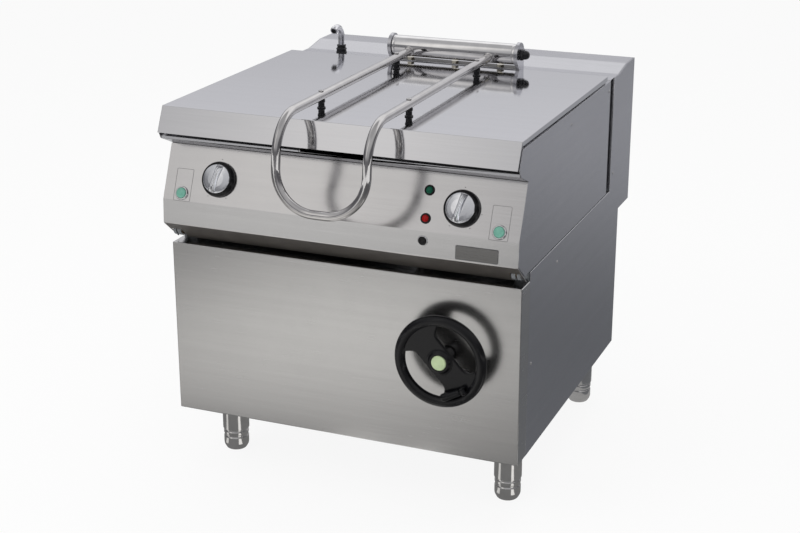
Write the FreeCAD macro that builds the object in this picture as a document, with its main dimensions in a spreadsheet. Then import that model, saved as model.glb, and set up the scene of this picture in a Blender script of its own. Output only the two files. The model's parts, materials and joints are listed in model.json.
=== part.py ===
import FreeCAD, Part
import math
import os
import re
import Sketcher
from FreeCAD import Placement, Rotation, Vector

# Tilting bratt pan of a 900-deep cooking line: a fixed base with its rear column, and above it a body
# with the cooking pan, its control panel and its lid, which tips forward about two pins over the door.
# Lengths are in millimetres. The pieces are drawn with X from the middle of the width, Y from the
# door's face to the rear and Z from the floor; their placements then bring them to the origin, which
# is on the floor under the middle of the whole object.

doc = FreeCAD.newDocument("TiltingBrattPan")

# Driving sizes
SIZES = (
    ("width", 800, "outside width of base and body"),
    ("skin", 2, "thickness of the outer sheets"),
    ("seam", 0.5, "gap left between neighbouring sheets"),
    ("fit", 0.05, "radial clearance of a shaft in its hole"),
    ("play", 0.4, "clearance between a moving piece and its neighbour"),
    ("leg_inset", 65, "leg's axis in from the side"),
    ("front_leg", 138, "front leg's axis behind the door's face"),
    ("rear_leg", 700, "rear leg's axis behind the door's face"),
    ("leg_radius", 30.5, "radius of the leg's tube"),
    ("foot_collar", 52, "height of the foot under the leg's tube"),
    ("foot_radius", 29, "widest radius of the foot"),
    ("sole_radius", 22, "radius of the foot's sole"),
    ("stem_radius", 12, "radius of the foot's threaded stem"),
    ("stem_length", 70, "length of the stem inside the leg"),
    ("base_bottom", 149, "underside of the base"),
    ("base_top", 562, "top edge of the base's sides"),
    ("door_top", 542.5, "top edge of the front panel"),
    ("door_depth", 52, "depth of the front panel's folded edges"),
    ("base_rear", 754, "rear face of the base"),
    ("frame_leg", 30, "width of the angle profile in the base frame"),
    ("frame_wall", 3, "thickness of the frames' profiles"),
    ("buffer_height", 5, "thickness of the rubber rest buffers"),
    ("column_front", 664, "front edge of the rear column's sides"),
    ("column_rear", 848, "rear face of the column"),
    ("column_bottom", 495, "underside of the column behind the base"),
    ("column_top", 848, "top of the column"),
    ("ledge_front", 634, "front edge of the tap ledge"),
    ("ledge_rear", 706, "where the ledge starts to rise"),
    ("slope_rear", 775, "where the slope meets the column's top"),
    ("ledge_lip", 12, "height of the ledge's folded front edge"),
    ("vent_width", 90, "length of a vent slot in the rear panel"),
    ("vent_height", 8, "height of a vent slot"),
    ("vent_pitch", 24, "distance between vent slots"),
    ("vent_count", 6, "vent slots in a column"),
    ("pivot_back", 14, "tilting axis behind the door's face"),
    ("pivot_rise", 12, "tilting axis above the base's top"),
    ("pin_radius", 10, "radius of a pivot pin"),
    ("bush_wall", 4, "wall of a pivot bush"),
    ("boss_radius", 17, "radius of the pivot bosses"),
    ("bracket_thick", 6, "thickness of a pivot bracket"),
    ("lug_thick", 8, "thickness of a lug on the tilting frame"),
    ("body_rear", 630, "rear face of the tilting body"),
    ("body_top", 836, "top of the tilting body's sides"),
    ("panel_top_back", 18, "control panel's top edge behind the door's face"),
    ("panel_top_z", 761, "height of the control panel's top edge"),
    ("panel_fold_lead", 29, "control panel's upper fold ahead of the door's face"),
    ("panel_fold_z", 649, "height of the control panel's upper fold"),
    ("panel_nose_lead", 32, "control panel's lower fold ahead of the door's face"),
    ("panel_nose_z", 596, "height of the control panel's lower fold"),
    ("tuck_back", 11, "end of the tucked-under sheet behind the door's face"),
    ("deck_side", 50, "width of the deck beside the pan"),
    ("well_rear", 562, "rear wall of the pan, inside"),
    ("well_front", 28, "front wall of the pan at its rim, inside"),
    ("well_lean", 90, "how far the front wall leans out over its height"),
    ("well_depth", 196, "depth of the pan from its rim"),
    ("well_corner", 40, "radius of the pan's upright corners"),
    ("pan_wall", 3, "thickness of the pan's walls"),
    ("spout_middle", 2, "middle of the pouring spout"),
    ("spout_half", 78, "half of the spout's outer width"),
    ("spout_lead", 28, "spout's lip ahead of the door's face"),
    ("spout_drop", 50, "spout's lip below the body's top"),
    ("plate_thick", 12, "thickness of the heat spreading plate"),
    ("element_radius", 4, "half of a heating element's width and height"),
    ("element_pitch", 70, "distance between the element's runs"),
    ("tray_height", 26, "height of the heater tray"),
    ("rail_height", 30, "height of the tilting frame's channels"),
    ("lid_top", 850.8, "top of the lid"),
    ("lid_front_lead", 17, "front edge of the lid's top ahead of the door's face"),
    ("apron_lead", 42.5, "lower edge of the lid's apron ahead of the door's face"),
    ("apron_z", 798, "height of the apron's lower edge"),
    ("lid_rear", 606, "rear edge of the lid"),
    ("lid_inset", 2, "lid's side in from the body's side"),
    ("lid_flange", 12, "height of the lid's side flanges"),
    ("liner_inset", 18, "liner's side in from the lid's side"),
    ("hinge_axis_back", 602, "lid axis behind the door's face"),
    ("hinge_axis_z", 885, "height of the lid axis"),
    ("hinge_middle", 30, "middle of the hinge, to the right"),
    ("tube_length", 305, "length of the hinge tube"),
    ("tube_radius", 24, "radius of the hinge tube"),
    ("tube_wall", 3, "wall of the hinge tube"),
    ("ear_radius", 28, "radius of the hinge ears"),
    ("ear_thick", 8, "thickness of the hinge ears"),
    ("channel_front", 592, "front of the hinge's base channel"),
    ("channel_top", 853, "top of the hinge's base channel"),
    ("channel_wall", 4, "wall of the hinge's base channel"),
    ("bar_radius", 8, "radius of the torsion bar"),
    ("grip_bar_radius", 9.5, "radius of the lid handle's tube"),
    ("handle_middle", 21.5, "middle of the lid handle, to the right"),
    ("handle_half", 98.5, "half of the distance between the handle's bars"),
    ("handle_drop", 191.5, "handle's lowest axis under the lid axis"),
    ("bar_drop", 8, "handle's bars under the lid axis"),
    ("handle_lead", 142, "handle's lowest axis ahead of the door's face"),
    ("knee_lead", 120.5, "corner of the handle's knee ahead of the door's face"),
    ("knee_radius", 84, "bend radius of the handle's knees"),
    ("loop_radius", 85, "bend radius of the handle's lower corners"),
    ("front_post", 87, "front posts behind the door's face"),
    ("rear_post", 500, "rear posts behind the door's face"),
    ("post_radius", 6, "radius of a handle post"),
    ("knob_inset", 127, "knob's axis in from the body's side"),
    ("knob_z", 699, "height of the knobs"),
    ("knob_radius", 38, "radius of the knob's skirt"),
    ("knob_height", 15, "height of the knob's skirt"),
    ("face_radius", 31, "radius of the knob's metal face"),
    ("face_rise", 5, "height of the face's dome"),
    ("bar_width", 17, "width of the knob's raised bar"),
    ("bar_rise", 16, "height of the raised bar over the skirt"),
    ("knob_lean", 13, "turn of the knob's bar from upright, in degrees"),
    ("spindle_radius", 4, "radius of a knob's spindle"),
    ("switch_side", 46, "side of a switch housing"),
    ("switch_depth", 34, "depth of a switch housing"),
    ("button_inset", 43, "push button's axis in from the body's side"),
    ("button_z", 664, "height of the push buttons"),
    ("button_radius", 11.3, "radius of a push button"),
    ("bezel_radius", 15, "radius of a button's bezel"),
    ("bezel_rise", 4, "height of a button's bezel"),
    ("button_rise", 7, "height of a push button"),
    ("button_travel", 3, "travel of a push button"),
    ("pilot_x", 199, "pilot lamps to the right"),
    ("green_z", 726, "height of the green pilot lamp"),
    ("red_z", 673, "height of the red pilot lamp"),
    ("pilot_radius", 11, "radius of a pilot lamp's bezel"),
    ("lens_radius", 7.5, "radius of a pilot lamp's lens"),
    ("reset_x", 197, "reset button to the right"),
    ("reset_z", 629, "height of the reset button"),
    ("reset_radius", 8.5, "radius of the reset button"),
    ("wheel_x", 243, "handwheel's axis to the right"),
    ("wheel_z", 379, "height of the handwheel's axis"),
    ("wheel_radius", 100, "outer radius of the handwheel"),
    ("wheel_lead", 45, "rim's plane ahead of the door's face"),
    ("rim_radius", 11, "radius of the handwheel's rim"),
    ("web_thick", 10, "thickness of the handwheel's web"),
    ("web_half", 28, "half width of the web at the hub"),
    ("lobe_corner", 11, "rounding of the openings' corners in the handwheel"),
    ("hub_radius", 22, "radius of the handwheel's hub"),
    ("cap_radius", 16, "radius of the hub cap"),
    ("grip_angle", 64, "crank grip below the horizontal, to the right"),
    ("grip_length", 52, "length of the crank grip"),
    ("grip_radius", 9, "radius of the crank grip"),
    ("grip_pin", 2.5, "radius of the crank grip's pin"),
    ("eye_radius", 6, "radius of the crank grip's eye"),
    ("eye_half", 4.5, "half of the eye's width"),
    ("grip_ear", 3, "thickness of an ear that holds the grip's pin"),
    ("shaft_radius", 10, "radius of the handwheel's shaft"),
    ("reducer_centres", 110, "rise from worm to worm wheel in the reducer"),
    ("reducer_half", 43, "half of the reducer's width"),
    ("reducer_deep", 96, "depth of the reducer"),
    ("output_radius", 12.5, "radius of the reducer's output shaft"),
    ("sector_x", 153, "toothed sector to the right"),
    ("sector_thick", 12, "thickness of the toothed sector"),
    ("sector_clear", 7.5, "gap under the sector's lowest tooth"),
    ("sector_rim", 20, "depth of the sector's rim under its teeth"),
    ("sector_teeth", 150, "teeth that the sector's full circle would have"),
    ("pinion_teeth", 16, "teeth of the pinion"),
    ("pinion_width", 22, "width of the pinion"),
    ("gear_backlash", 0.5, "play between the teeth at the pitch circle"),
    ("tilt_angle", 75, "how far the body tips, in degrees"),
    ("tap_x", 301, "tap's axis to the left"),
    ("tap_back", 688, "tap's axis behind the door's face"),
    ("tap_base_radius", 13.5, "radius of the tap's base"),
    ("tap_base_height", 20, "height of the tap's base"),
    ("tap_radius", 8, "radius of the tap's tube"),
    ("tap_bend", 27, "bend radius of the tap's spout"),
    ("tap_bend_z", 875, "height of the spout's bend centre"),
    ("gland_x", 250, "cable gland to the left"),
    ("inlet_x", 310, "water inlet to the left"),
    ("services_z", 215, "height of gland and inlet"),
    ("gland_bore", 7, "radius of the gland's cable hole"),
    ("inlet_radius", 10.5, "outer radius of the half-inch inlet"),
    ("services_length", 30, "how far gland and inlet stand out"),
)

sheet = doc.addObject("Spreadsheet::Sheet", "Sizes")
for row, (alias, number, note) in enumerate(SIZES, start=1):
    sheet.set(f"A{row}", note)
    sheet.set(f"B{row}", str(number))
    sheet.setAlias(f"B{row}", alias)
size_names = {alias for alias, number, note in SIZES}
place_names = set()
places = doc.addObject("App::VarSet", "Places")
places.addProperty("App::PropertyFloat", "reading")


def link(text):
    """Turn plain size and place names in an expression into references to their cells."""

    def full_name(match):
        word = match.group(0)
        if word in size_names:
            return "Sizes." + word
        if word in place_names:
            return "Places." + word
        return word

    return re.sub(r"[A-Za-z_]\w*", full_name, text)


def bind(item, prop, text):
    item.setExpression(prop, link(text))


def place(name, text):
    """Keep a length or angle that follows from the sizes under its own name."""
    places.addProperty("App::PropertyFloat", name)
    bind(places, name, text)
    place_names.add(name)


def value(text):
    """The number that an expression gives now."""
    bind(places, "reading", text)
    places.recompute()
    return places.reading


# Places that several pieces share
doc.recompute()
place("origin_y", "-(column_rear - handle_lead - grip_bar_radius) / 2")
place("half", "width / 2")
place("inner", "half - skin")
place("well_half", "half - deck_side")
place("knob_offset", "half - knob_inset")
place("button_offset", "half - button_inset")
place("spout_z", "body_top - spout_drop")
place("frame_half", "inner - seam")
place("frame_front", "door_depth + seam")
place("frame_rear", "base_rear - skin - seam")
place("frame_bottom", "base_bottom + skin")
place("frame_top", "base_top - skin")
place("body_bottom", "base_top + 2 * seam")
place("rail_bottom", "frame_top + buffer_height + 2 * seam")
place("rail_top", "rail_bottom + rail_height")
place("pivot_z", "base_top + pivot_rise")
place("bracket_outer", "frame_half - frame_wall")
place("bracket_inner", "bracket_outer - bracket_thick")
place("lug_outer", "bracket_inner - 10 * play")
place("lug_inner", "lug_outer - lug_thick")
place("ring_front", "pivot_back + boss_radius + 20 * play")
place("ring_rear", "body_rear - 2 * skin - seam")
place("panel_angle", "atan2(panel_top_z - panel_fold_z; panel_top_back + panel_fold_lead)")
place("band_angle", "atan2(panel_fold_z - panel_nose_z; panel_nose_lead - panel_fold_lead)")
place("floor_z", "body_top - well_depth")
place("plate_bottom", "floor_z - pan_wall - plate_thick")
place("element_z", "plate_bottom - element_radius")
place("lid_half", "half - lid_inset")
place("bar_z", "hinge_axis_z - bar_drop")
place("tube_left", "hinge_middle - tube_length / 2")
place("tube_right", "hinge_middle + tube_length / 2")
place("ear_left", "tube_left - seam - ear_thick")
place("ear_right", "tube_right + seam + ear_thick")
place("sector_tip", "pivot_z - frame_bottom - frame_leg - sector_clear")
place("gear_module", "2 * sector_tip / (sector_teeth + 1.8)")
place("sector_pitch", "gear_module * sector_teeth / 2")
place("pinion_pitch", "gear_module * pinion_teeth / 2")
place("gear_centres", "sector_pitch + pinion_pitch")
place("pinion_z", "wheel_z + reducer_centres")
place("mesh_angle", "asin((pivot_z - pinion_z) / gear_centres)")
place("pinion_y", "pivot_back + gear_centres * cos(mesh_angle)")
place("reducer_front", "pinion_y - reducer_deep / 2")
place("reducer_left", "wheel_x - reducer_half")
doc.recompute()

finished = {}


def keep(item, node, spot=("0", "0", "0")):
    """Name a finished piece after its node and bring it to the object's origin."""
    item.Label = node
    bind(item, "Placement.Base.x", spot[0])
    bind(item, "Placement.Base.y", f"({spot[1]}) + origin_y")
    bind(item, "Placement.Base.z", spot[2])
    finished[node] = item
    return item


# Solids of the Part workbench, sized by expressions
def box(name, x, y, z):
    item = doc.addObject("Part::Box", name)
    for side, axis, (low, high) in (("Length", "x", x), ("Width", "y", y), ("Height", "z", z)):
        bind(item, side, f"({high}) - ({low})")
        bind(item, f"Placement.Base.{axis}", low)
    return item


TURNS = {
    "x": Rotation(Vector(0, 1, 0), 90),
    "y": Rotation(Vector(1, 0, 0), -90),
    "z": Rotation(),
}


def cylinder(name, axis, spot, radius, length):
    """A round bar from spot, along +X, +Y or +Z."""
    item = doc.addObject("Part::Cylinder", name)
    item.Placement = Placement(Vector(), TURNS[axis])
    bind(item, "Radius", radius)
    bind(item, "Height", length)
    for letter, text in zip("xyz", spot):
        bind(item, f"Placement.Base.{letter}", text)
    return item


def cone(name, axis, spot, radius, far_radius, length):
    item = doc.addObject("Part::Cone", name)
    item.Placement = Placement(Vector(), TURNS[axis])
    bind(item, "Radius1", radius)
    bind(item, "Radius2", far_radius)
    bind(item, "Height", length)
    for letter, text in zip("xyz", spot):
        bind(item, f"Placement.Base.{letter}", text)
    return item


def fuse(name, *items):
    joined = doc.addObject("Part::MultiFuse", name)
    joined.Shapes = list(items)
    joined.Refine = True
    return joined


def group(name, *items):
    """Separate solids that make one set, such as four bolts."""
    several = doc.addObject("Part::Compound", name)
    several.Links = list(items)
    return several


def cut(name, base, *tools):
    result = doc.addObject("Part::Cut", name)
    result.Base = base
    result.Tool = tools[0] if len(tools) == 1 else group(name + "Tools", *tools)
    return result


# Sketches, whose corners are held by distances bound to the sizes
def draw_line(sketch, points, closed=True):
    """Straight lines through points, each given as two expressions."""
    first = sketch.GeometryCount
    numbers = [Vector(value(u), value(v), 0) for u, v in points]
    ends = numbers[1:] + numbers[:1] if closed else numbers[1:]
    for start, end in zip(numbers, ends):
        sketch.addGeometry(Part.LineSegment(start, end))
    lines = len(ends)
    for index in range(lines - 1 + closed):
        nearby = (index + 1) % lines
        sketch.addConstraint(Sketcher.Constraint("Coincident", first + index, 2, first + nearby, 1))
    for index, (point, number) in enumerate(zip(points, numbers)):
        line, end = (index, 1) if index < lines else (lines - 1, 2)
        pin_point(sketch, first + line, end, point, number)


def pin_point(sketch, geometry, end, point, number):
    for kind, letter, text, place_now in (
        ("DistanceX", "u", point[0], number.x),
        ("DistanceY", "v", point[1], number.y),
    ):
        constraint = sketch.addConstraint(Sketcher.Constraint(kind, -1, 1, geometry, end, place_now))
        label = f"{letter}{constraint}"
        sketch.renameConstraint(constraint, label)
        bind(sketch, "Constraints." + label, text)


def draw_circle(sketch, u, v, radius):
    middle = Vector(value(u), value(v), 0)
    geometry = sketch.addGeometry(Part.Circle(middle, Vector(0, 0, 1), value(radius)))
    pin_point(sketch, geometry, 3, (u, v), middle)
    constraint = sketch.addConstraint(Sketcher.Constraint("Radius", geometry, value(radius)))
    sketch.renameConstraint(constraint, f"r{constraint}")
    bind(sketch, f"Constraints.r{constraint}", radius)


FACING_X = Rotation(Vector(0, 1, 0), Vector(0, 0, 1), Vector(1, 0, 0), "ZXY")
FACING_Y = Rotation(Vector(1, 0, 0), Vector(0, 0, 1), Vector(0, -1, 0), "ZXY")


def loose_sketch(name, facing, spot):
    """A sketch for the Part workbench: across the object at X, or along it at Y."""
    sketch = doc.addObject("Sketcher::SketchObject", name)
    sketch.Placement = Placement(Vector(), facing)
    bind(sketch, "Placement.Base.x" if facing is FACING_X else "Placement.Base.y", spot)
    return sketch


def extrude(name, profile, length, along=Vector(1, 0, 0)):
    item = doc.addObject("Part::Extrusion", name)
    item.Base = profile
    item.DirMode = "Custom"
    item.Dir = along
    bind(item, "LengthFwd", length)
    item.Solid = True
    return item


def plate(name, points, x):
    """A flat outline in Y and Z, extruded from one X to another."""
    sketch = loose_sketch(name + "Outline", FACING_X, x[0])
    draw_line(sketch, points)
    return extrude(name, sketch, f"({x[1]}) - ({x[0]})")


def folded(name, points, thickness, x):
    """Sheet folded along an outer line in Y and Z; the sheet lies to the right of the line."""
    sketch = loose_sketch(name + "Fold", FACING_X, x[0])
    draw_line(sketch, points, closed=False)
    strip = doc.addObject("Part::Offset2D", name + "Strip")
    strip.Source = sketch
    bind(strip, "Value", thickness)
    strip.Mode = "Skin"
    strip.Join = "Intersection"
    strip.Fill = True
    return extrude(name, strip, f"({x[1]}) - ({x[0]})")


def rounded(name, base, radius, wanted):
    """Round the edges of a Part object that the test function picks."""
    doc.recompute()
    item = doc.addObject("Part::Fillet", name)
    item.Base = base
    picked = [number for number, edge in enumerate(base.Shape.Edges, start=1) if wanted(edge)]
    size = value(radius)
    item.Edges = [(number, size, size) for number in picked]
    return item


# Features of the PartDesign workbench
def body(name):
    return doc.addObject("PartDesign::Body", name)


def body_sketch(owner, role, offset="0"):
    """A sketch on one of the body's own origin planes, moved along the plane's normal."""
    sketch = owner.newObject("Sketcher::SketchObject", owner.Name + "Sketch")
    plane = next(item for item in owner.Origin.OriginFeatures if item.Role == role)
    sketch.AttachmentSupport = [(plane, "")]
    sketch.MapMode = "FlatFace"
    bind(sketch, "AttachmentOffset.Base.z", offset)
    return sketch


def pad(owner, sketch, length, backwards=False):
    feature = owner.newObject("PartDesign::Pad", owner.Name + "Pad")
    feature.Profile = sketch
    bind(feature, "Length", length)
    feature.Reversed = backwards
    return feature


def pocket(owner, sketch, depth, backwards=False):
    """Cut a pocket and make sure that it takes material away."""
    doc.recompute()
    before = owner.Shape.Volume
    feature = owner.newObject("PartDesign::Pocket", owner.Name + "Pocket")
    feature.Profile = sketch
    bind(feature, "Length", depth)
    feature.Reversed = backwards
    doc.recompute()
    if owner.Shape.Volume > before - 1:
        raise RuntimeError(f"a pocket of {owner.Name} cuts nothing")
    return feature


def revolve(owner, sketch, axis="V_Axis"):
    feature = owner.newObject("PartDesign::Revolution", owner.Name + "Revolution")
    feature.Profile = sketch
    feature.ReferenceAxis = (sketch, [axis])
    feature.Angle = 360
    return feature


def lathe(name, points):
    """A turned piece about its own Z axis, from a half outline in radius and height."""
    owner = body(name)
    sketch = body_sketch(owner, "XZ_Plane")
    draw_line(sketch, points)
    revolve(owner, sketch)
    return owner


# Base: tray, welded angle frame and skins
def make_bottom_plate():
    tray = box(
        "TrayPlate",
        ("-frame_half", "frame_half"),
        ("frame_front", "base_rear - skin - seam"),
        ("base_bottom", "frame_bottom"),
    )
    holes = [
        cylinder(f"TrayHole{number}", "z", (x, y, "base_bottom - 1"), "stem_radius / 2", "skin + 2")
        for number, (x, y) in enumerate(leg_spots(), start=1)
    ]
    keep(cut("BottomPlate", tray, *holes), "bottom_plate")


def leg_spots():
    return [
        (side + "(half - leg_inset)", line)
        for line in ("front_leg", "rear_leg")
        for side in ("-", "")
    ]


def make_base_frame():
    """Angle profiles on the edges of a box; the front top edge stays open for the sector."""
    across = ("-frame_half + frame_leg", "frame_half - frame_leg")
    along = ("frame_front + frame_leg", "frame_rear - frame_leg")
    upright = ("frame_bottom + frame_leg", "frame_top - frame_leg")
    whole = ("frame_front - 1", "frame_rear + 1")
    block = box(
        "FrameBlock",
        ("-frame_half", "frame_half"),
        ("frame_front", "frame_rear"),
        ("frame_bottom", "frame_top"),
    )
    core = box(
        "FrameCore",
        ("-frame_half + frame_wall", "frame_half - frame_wall"),
        ("frame_front + frame_wall", "frame_rear - frame_wall"),
        ("frame_bottom + frame_wall", "frame_top - frame_wall"),
    )
    windows = [
        box("FrameLongWindow", across, whole, upright),
        box("FrameSideWindow", ("-half", "half"), along, upright),
        box("FrameTopWindow", across, along, ("frame_bottom - 1", "frame_top + 1")),
        box(
            "FrameFrontOpening",
            across,
            ("frame_front - 1", "frame_front + frame_leg + 1"),
            ("frame_top - frame_leg - 1", "frame_top + 1"),
        ),
    ]
    slots = [
        box(
            f"FrameBracketSlot{number}",
            sides,
            ("frame_front - 1", "frame_front + frame_leg + 1"),
            ("door_top - 4 * skin", "frame_top + 1"),
        )
        for number, sides in enumerate(
            (("bracket_inner - seam", "bracket_outer"), ("-bracket_outer", "-bracket_inner + seam")),
            start=1,
        )
    ]
    keep(cut("BaseFrame", block, core, *windows, *slots), "base_frame")


def make_front_panel():
    """Tray-shaped door skin with a hole for the handwheel's shaft."""
    panel = body("FrontPanel")
    face = body_sketch(panel, "XZ_Plane")
    corners = (("-half", "base_bottom"), ("half", "base_bottom"), ("half", "door_top"), ("-half", "door_top"))
    draw_line(face, corners)
    pad(panel, face, "door_depth", backwards=True)
    hollow = body_sketch(panel, "XZ_Plane", "-door_depth")
    draw_line(
        hollow,
        (
            ("-inner", "base_bottom + skin"),
            ("inner", "base_bottom + skin"),
            ("inner", "door_top - skin"),
            ("-inner", "door_top - skin"),
        ),
    )
    pocket(panel, hollow, "door_depth - skin", backwards=True)
    hole = body_sketch(panel, "XZ_Plane")
    draw_circle(hole, "wheel_x", "wheel_z", "shaft_radius + 5 * play")
    pocket(panel, hole, "2 * skin")
    keep(panel, "front_panel")


def make_side_panel(node, low, high):
    outline = (
        ("frame_front", "base_bottom"),
        ("base_rear", "base_bottom"),
        ("base_rear", "column_bottom"),
        ("column_rear", "column_bottom"),
        ("column_rear", "column_top"),
        ("slope_rear", "column_top"),
        ("ledge_rear", "body_top"),
        ("column_front", "body_top"),
        ("column_front", "base_top"),
        ("frame_front", "base_top"),
    )
    keep(plate(node.title().replace("_", ""), outline, (low, high)), node)


def make_rear_panel():
    """Rear skin with two columns of vent slots and the holes for gland and inlet."""
    panel = body("RearPanel")
    face = body_sketch(panel, "XZ_Plane", "-base_rear")
    draw_line(
        face,
        (
            ("-frame_half", "base_bottom"),
            ("frame_half", "base_bottom"),
            ("frame_half", "column_bottom"),
            ("-frame_half", "column_bottom"),
        ),
    )
    pad(panel, face, "skin")
    services = body_sketch(panel, "XZ_Plane", "-base_rear")
    draw_circle(services, "-gland_x", "services_z", "gland_bore + 4")
    draw_circle(services, "-inlet_x", "services_z", "inlet_radius + play")
    pocket(panel, services, "2 * skin", backwards=True)
    slots = body_sketch(panel, "XZ_Plane", "-base_rear")
    for left in ("-vent_width * 1.5", "vent_width / 2"):
        draw_line(
            slots,
            (
                (left, "services_z + 90"),
                (left + " + vent_width", "services_z + 90"),
                (left + " + vent_width", "services_z + 90 + vent_height"),
                (left, "services_z + 90 + vent_height"),
            ),
        )
    slot = pocket(panel, slots, "2 * skin", backwards=True)
    pattern = panel.newObject("PartDesign::LinearPattern", "RearPanelVents")
    pattern.Originals = [slot]
    pattern.Direction = (slots, ["V_Axis"])
    bind(pattern, "Length", "vent_pitch * (vent_count - 1)")
    bind(pattern, "Occurrences", "vent_count")
    panel.Tip = pattern
    keep(panel, "rear_panel")


def make_legs():
    tubes = []
    for number, (x, y) in enumerate(leg_spots(), start=1):
        tube = cylinder(f"LegTube{number}", "z", (x, y, "foot_collar"), "leg_radius", "base_bottom - foot_collar")
        bore = cylinder(
            f"LegBore{number}", "z", (x, y, "foot_collar - 1"), "stem_radius + fit", "stem_length + 5"
        )
        tubes.append(cut(f"Leg{number}", tube, bore))
    keep(group("LegTubes", *tubes), "leg_tubes")
    outline = (
        ("0", "0"),
        ("sole_radius", "0"),
        ("foot_radius", "foot_collar * 0.25"),
        ("foot_radius", "foot_collar * 0.65"),
        ("foot_radius - 2", "foot_collar * 0.75"),
        ("foot_radius - 2", "foot_collar - play"),
        ("stem_radius", "foot_collar - play"),
        ("stem_radius", "foot_collar - play + stem_length"),
        ("0", "foot_collar - play + stem_length"),
    )
    names = ("front_left_foot", "front_right_foot", "rear_left_foot", "rear_right_foot")
    for node, (x, y) in zip(names, leg_spots()):
        keep(lathe(node.title().replace("_", ""), outline), node, (x, y, "0"))


# Rear column with its tap
def make_column():
    line = (
        ("ledge_front", "body_top - ledge_lip"),
        ("ledge_front", "body_top"),
        ("ledge_rear", "body_top"),
        ("slope_rear", "column_top"),
        ("column_rear", "column_top"),
        ("column_rear", "column_bottom"),
        ("base_rear + seam", "column_bottom"),
    )
    casing = folded("ColumnCasing", line, "skin", ("-inner + seam", "inner - seam"))
    hole = cylinder(
        "TapHole", "z", ("-tap_x", "tap_back", "body_top - 2 * skin"), "tap_radius + play", "4 * skin"
    )
    keep(cut("FlueCasing", casing, hole), "flue_casing")
    front = box(
        "FlueFront",
        ("-inner + seam", "inner - seam"),
        ("column_front", "column_front + skin"),
        ("base_top", "body_top - skin - seam"),
    )
    keep(front, "flue_front", ("-inner + seam", "column_front", "base_top"))


def make_tap():
    spot = ("-tap_x", "tap_back")
    foot = cylinder("TapFoot", "z", (*spot, "body_top"), "tap_base_radius", "tap_base_height * 0.45")
    ring = cylinder(
        "TapRing", "z", (*spot, "body_top"), "tap_base_radius * 0.85", "tap_base_height"
    )
    stem = cylinder("TapStem", "z", (*spot, "body_top - 40"), "tap_radius", "40")
    bore = cylinder(
        "TapBore", "z", (*spot, "body_top + tap_base_height / 2"), "tap_radius + fit", "tap_base_height"
    )
    keep(cut("TapBody", fuse("TapSolid", foot, ring, stem), bore), "tap_body")
    keep(make_tap_spout(), "tap_spout", (*spot, "0"))


def make_tap_spout():
    """Swan neck: up out of the body, over in one bend and down to a collar at the outlet."""
    bend = value("tap_bend")
    bend_z = value("tap_bend_z")
    bottom = Vector(0, 0, value("body_top + tap_base_height / 2 + play"))
    middle = Vector(0, -bend, bend_z)
    end_angle = math.radians(150)

    def on_bend(angle):
        return middle + Vector(0, bend * math.cos(angle), bend * math.sin(angle))

    spine = Part.Wire(
        [
            Part.LineSegment(bottom, on_bend(0)).toShape(),
            Part.Arc(on_bend(0), on_bend(end_angle / 2), on_bend(end_angle)).toShape(),
        ]
    )
    circle = Part.Wire(Part.Circle(bottom, Vector(0, 0, 1), value("tap_radius")).toShape())
    tube = spine.makePipeShell([circle], True, True)
    downwards = Vector(0, -math.sin(end_angle), math.cos(end_angle))
    collar = Part.makeCylinder(value("tap_radius + 1.5"), 9, on_bend(end_angle) - downwards * 3, downwards)
    outlet = Part.makeCylinder(value("tap_radius - 2"), 8, on_bend(end_angle) + downwards, downwards)
    item = doc.addObject("Part::Feature", "TapSpout")
    item.Shape = tube.fuse(collar).cut(outlet).removeSplitter()
    return item


# Tilting pivots
def make_pivots():
    brackets = []
    pins = []
    bushes = []
    for side, low, high, flip in (
        ("Left", "-bracket_outer", "-bracket_inner", -1),
        ("Right", "bracket_inner", "bracket_outer", 1),
    ):
        arm = plate(
            f"{side}BracketArm",
            (
                ("pivot_back + boss_radius / 2", "pivot_z - boss_radius * 0.86"),
                ("frame_front + 2 * seam", "door_top + frame_wall"),
                ("frame_front + 2 * frame_wall", "frame_top - frame_leg"),
                ("frame_front + 2 * frame_wall", "frame_top - 4 * frame_leg"),
                ("frame_front + frame_leg", "frame_top - 4 * frame_leg"),
                ("frame_front + frame_leg", "frame_top - seam"),
                ("frame_front + frame_wall", "frame_top + 2 * seam"),
                ("pivot_back + boss_radius / 2", "pivot_z + boss_radius * 0.86"),
            ),
            (low, high),
        )
        boss = cylinder(f"{side}BracketBoss", "x", (low, "pivot_back", "pivot_z"), "boss_radius", "bracket_thick")
        bore = cylinder(
            f"{side}BracketBore",
            "x",
            (low + " - 1", "pivot_back", "pivot_z"),
            "pin_radius + fit",
            "bracket_thick + 2",
        )
        brackets.append(cut(f"{side}Bracket", fuse(f"{side}BracketSolid", arm, boss), bore))
        pin_low = "lug_inner - 2" if flip > 0 else "-bracket_outer"
        pin = cylinder(
            f"{side}Pin",
            "x",
            (pin_low, "pivot_back", "pivot_z"),
            "pin_radius",
            "bracket_outer - lug_inner + 2",
        )
        head_low = "bracket_outer" if flip > 0 else "-bracket_outer - 2"
        head = cylinder(
            f"{side}PinHead", "x", (head_low, "pivot_back", "pivot_z"), "pin_radius + 4", "2"
        )
        pins.append(fuse(f"{side}PivotPin", pin, head))
        bush_low = "lug_inner" if flip > 0 else "-lug_outer"
        ring = cylinder(
            f"{side}BushRing", "x", (bush_low, "pivot_back", "pivot_z"), "pin_radius + bush_wall", "lug_thick"
        )
        ring_bore = cylinder(
            f"{side}BushBore",
            "x",
            (bush_low + " - 1", "pivot_back", "pivot_z"),
            "pin_radius + fit",
            "lug_thick + 2",
        )
        bushes.append(cut(f"{side}Bush", ring, ring_bore))
    keep(group("PivotBrackets", *brackets), "pivot_brackets")
    keep(group("PivotPins", *pins), "pivot_pins")
    keep(group("PivotBushes", *bushes), "pivot_bushes")


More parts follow.
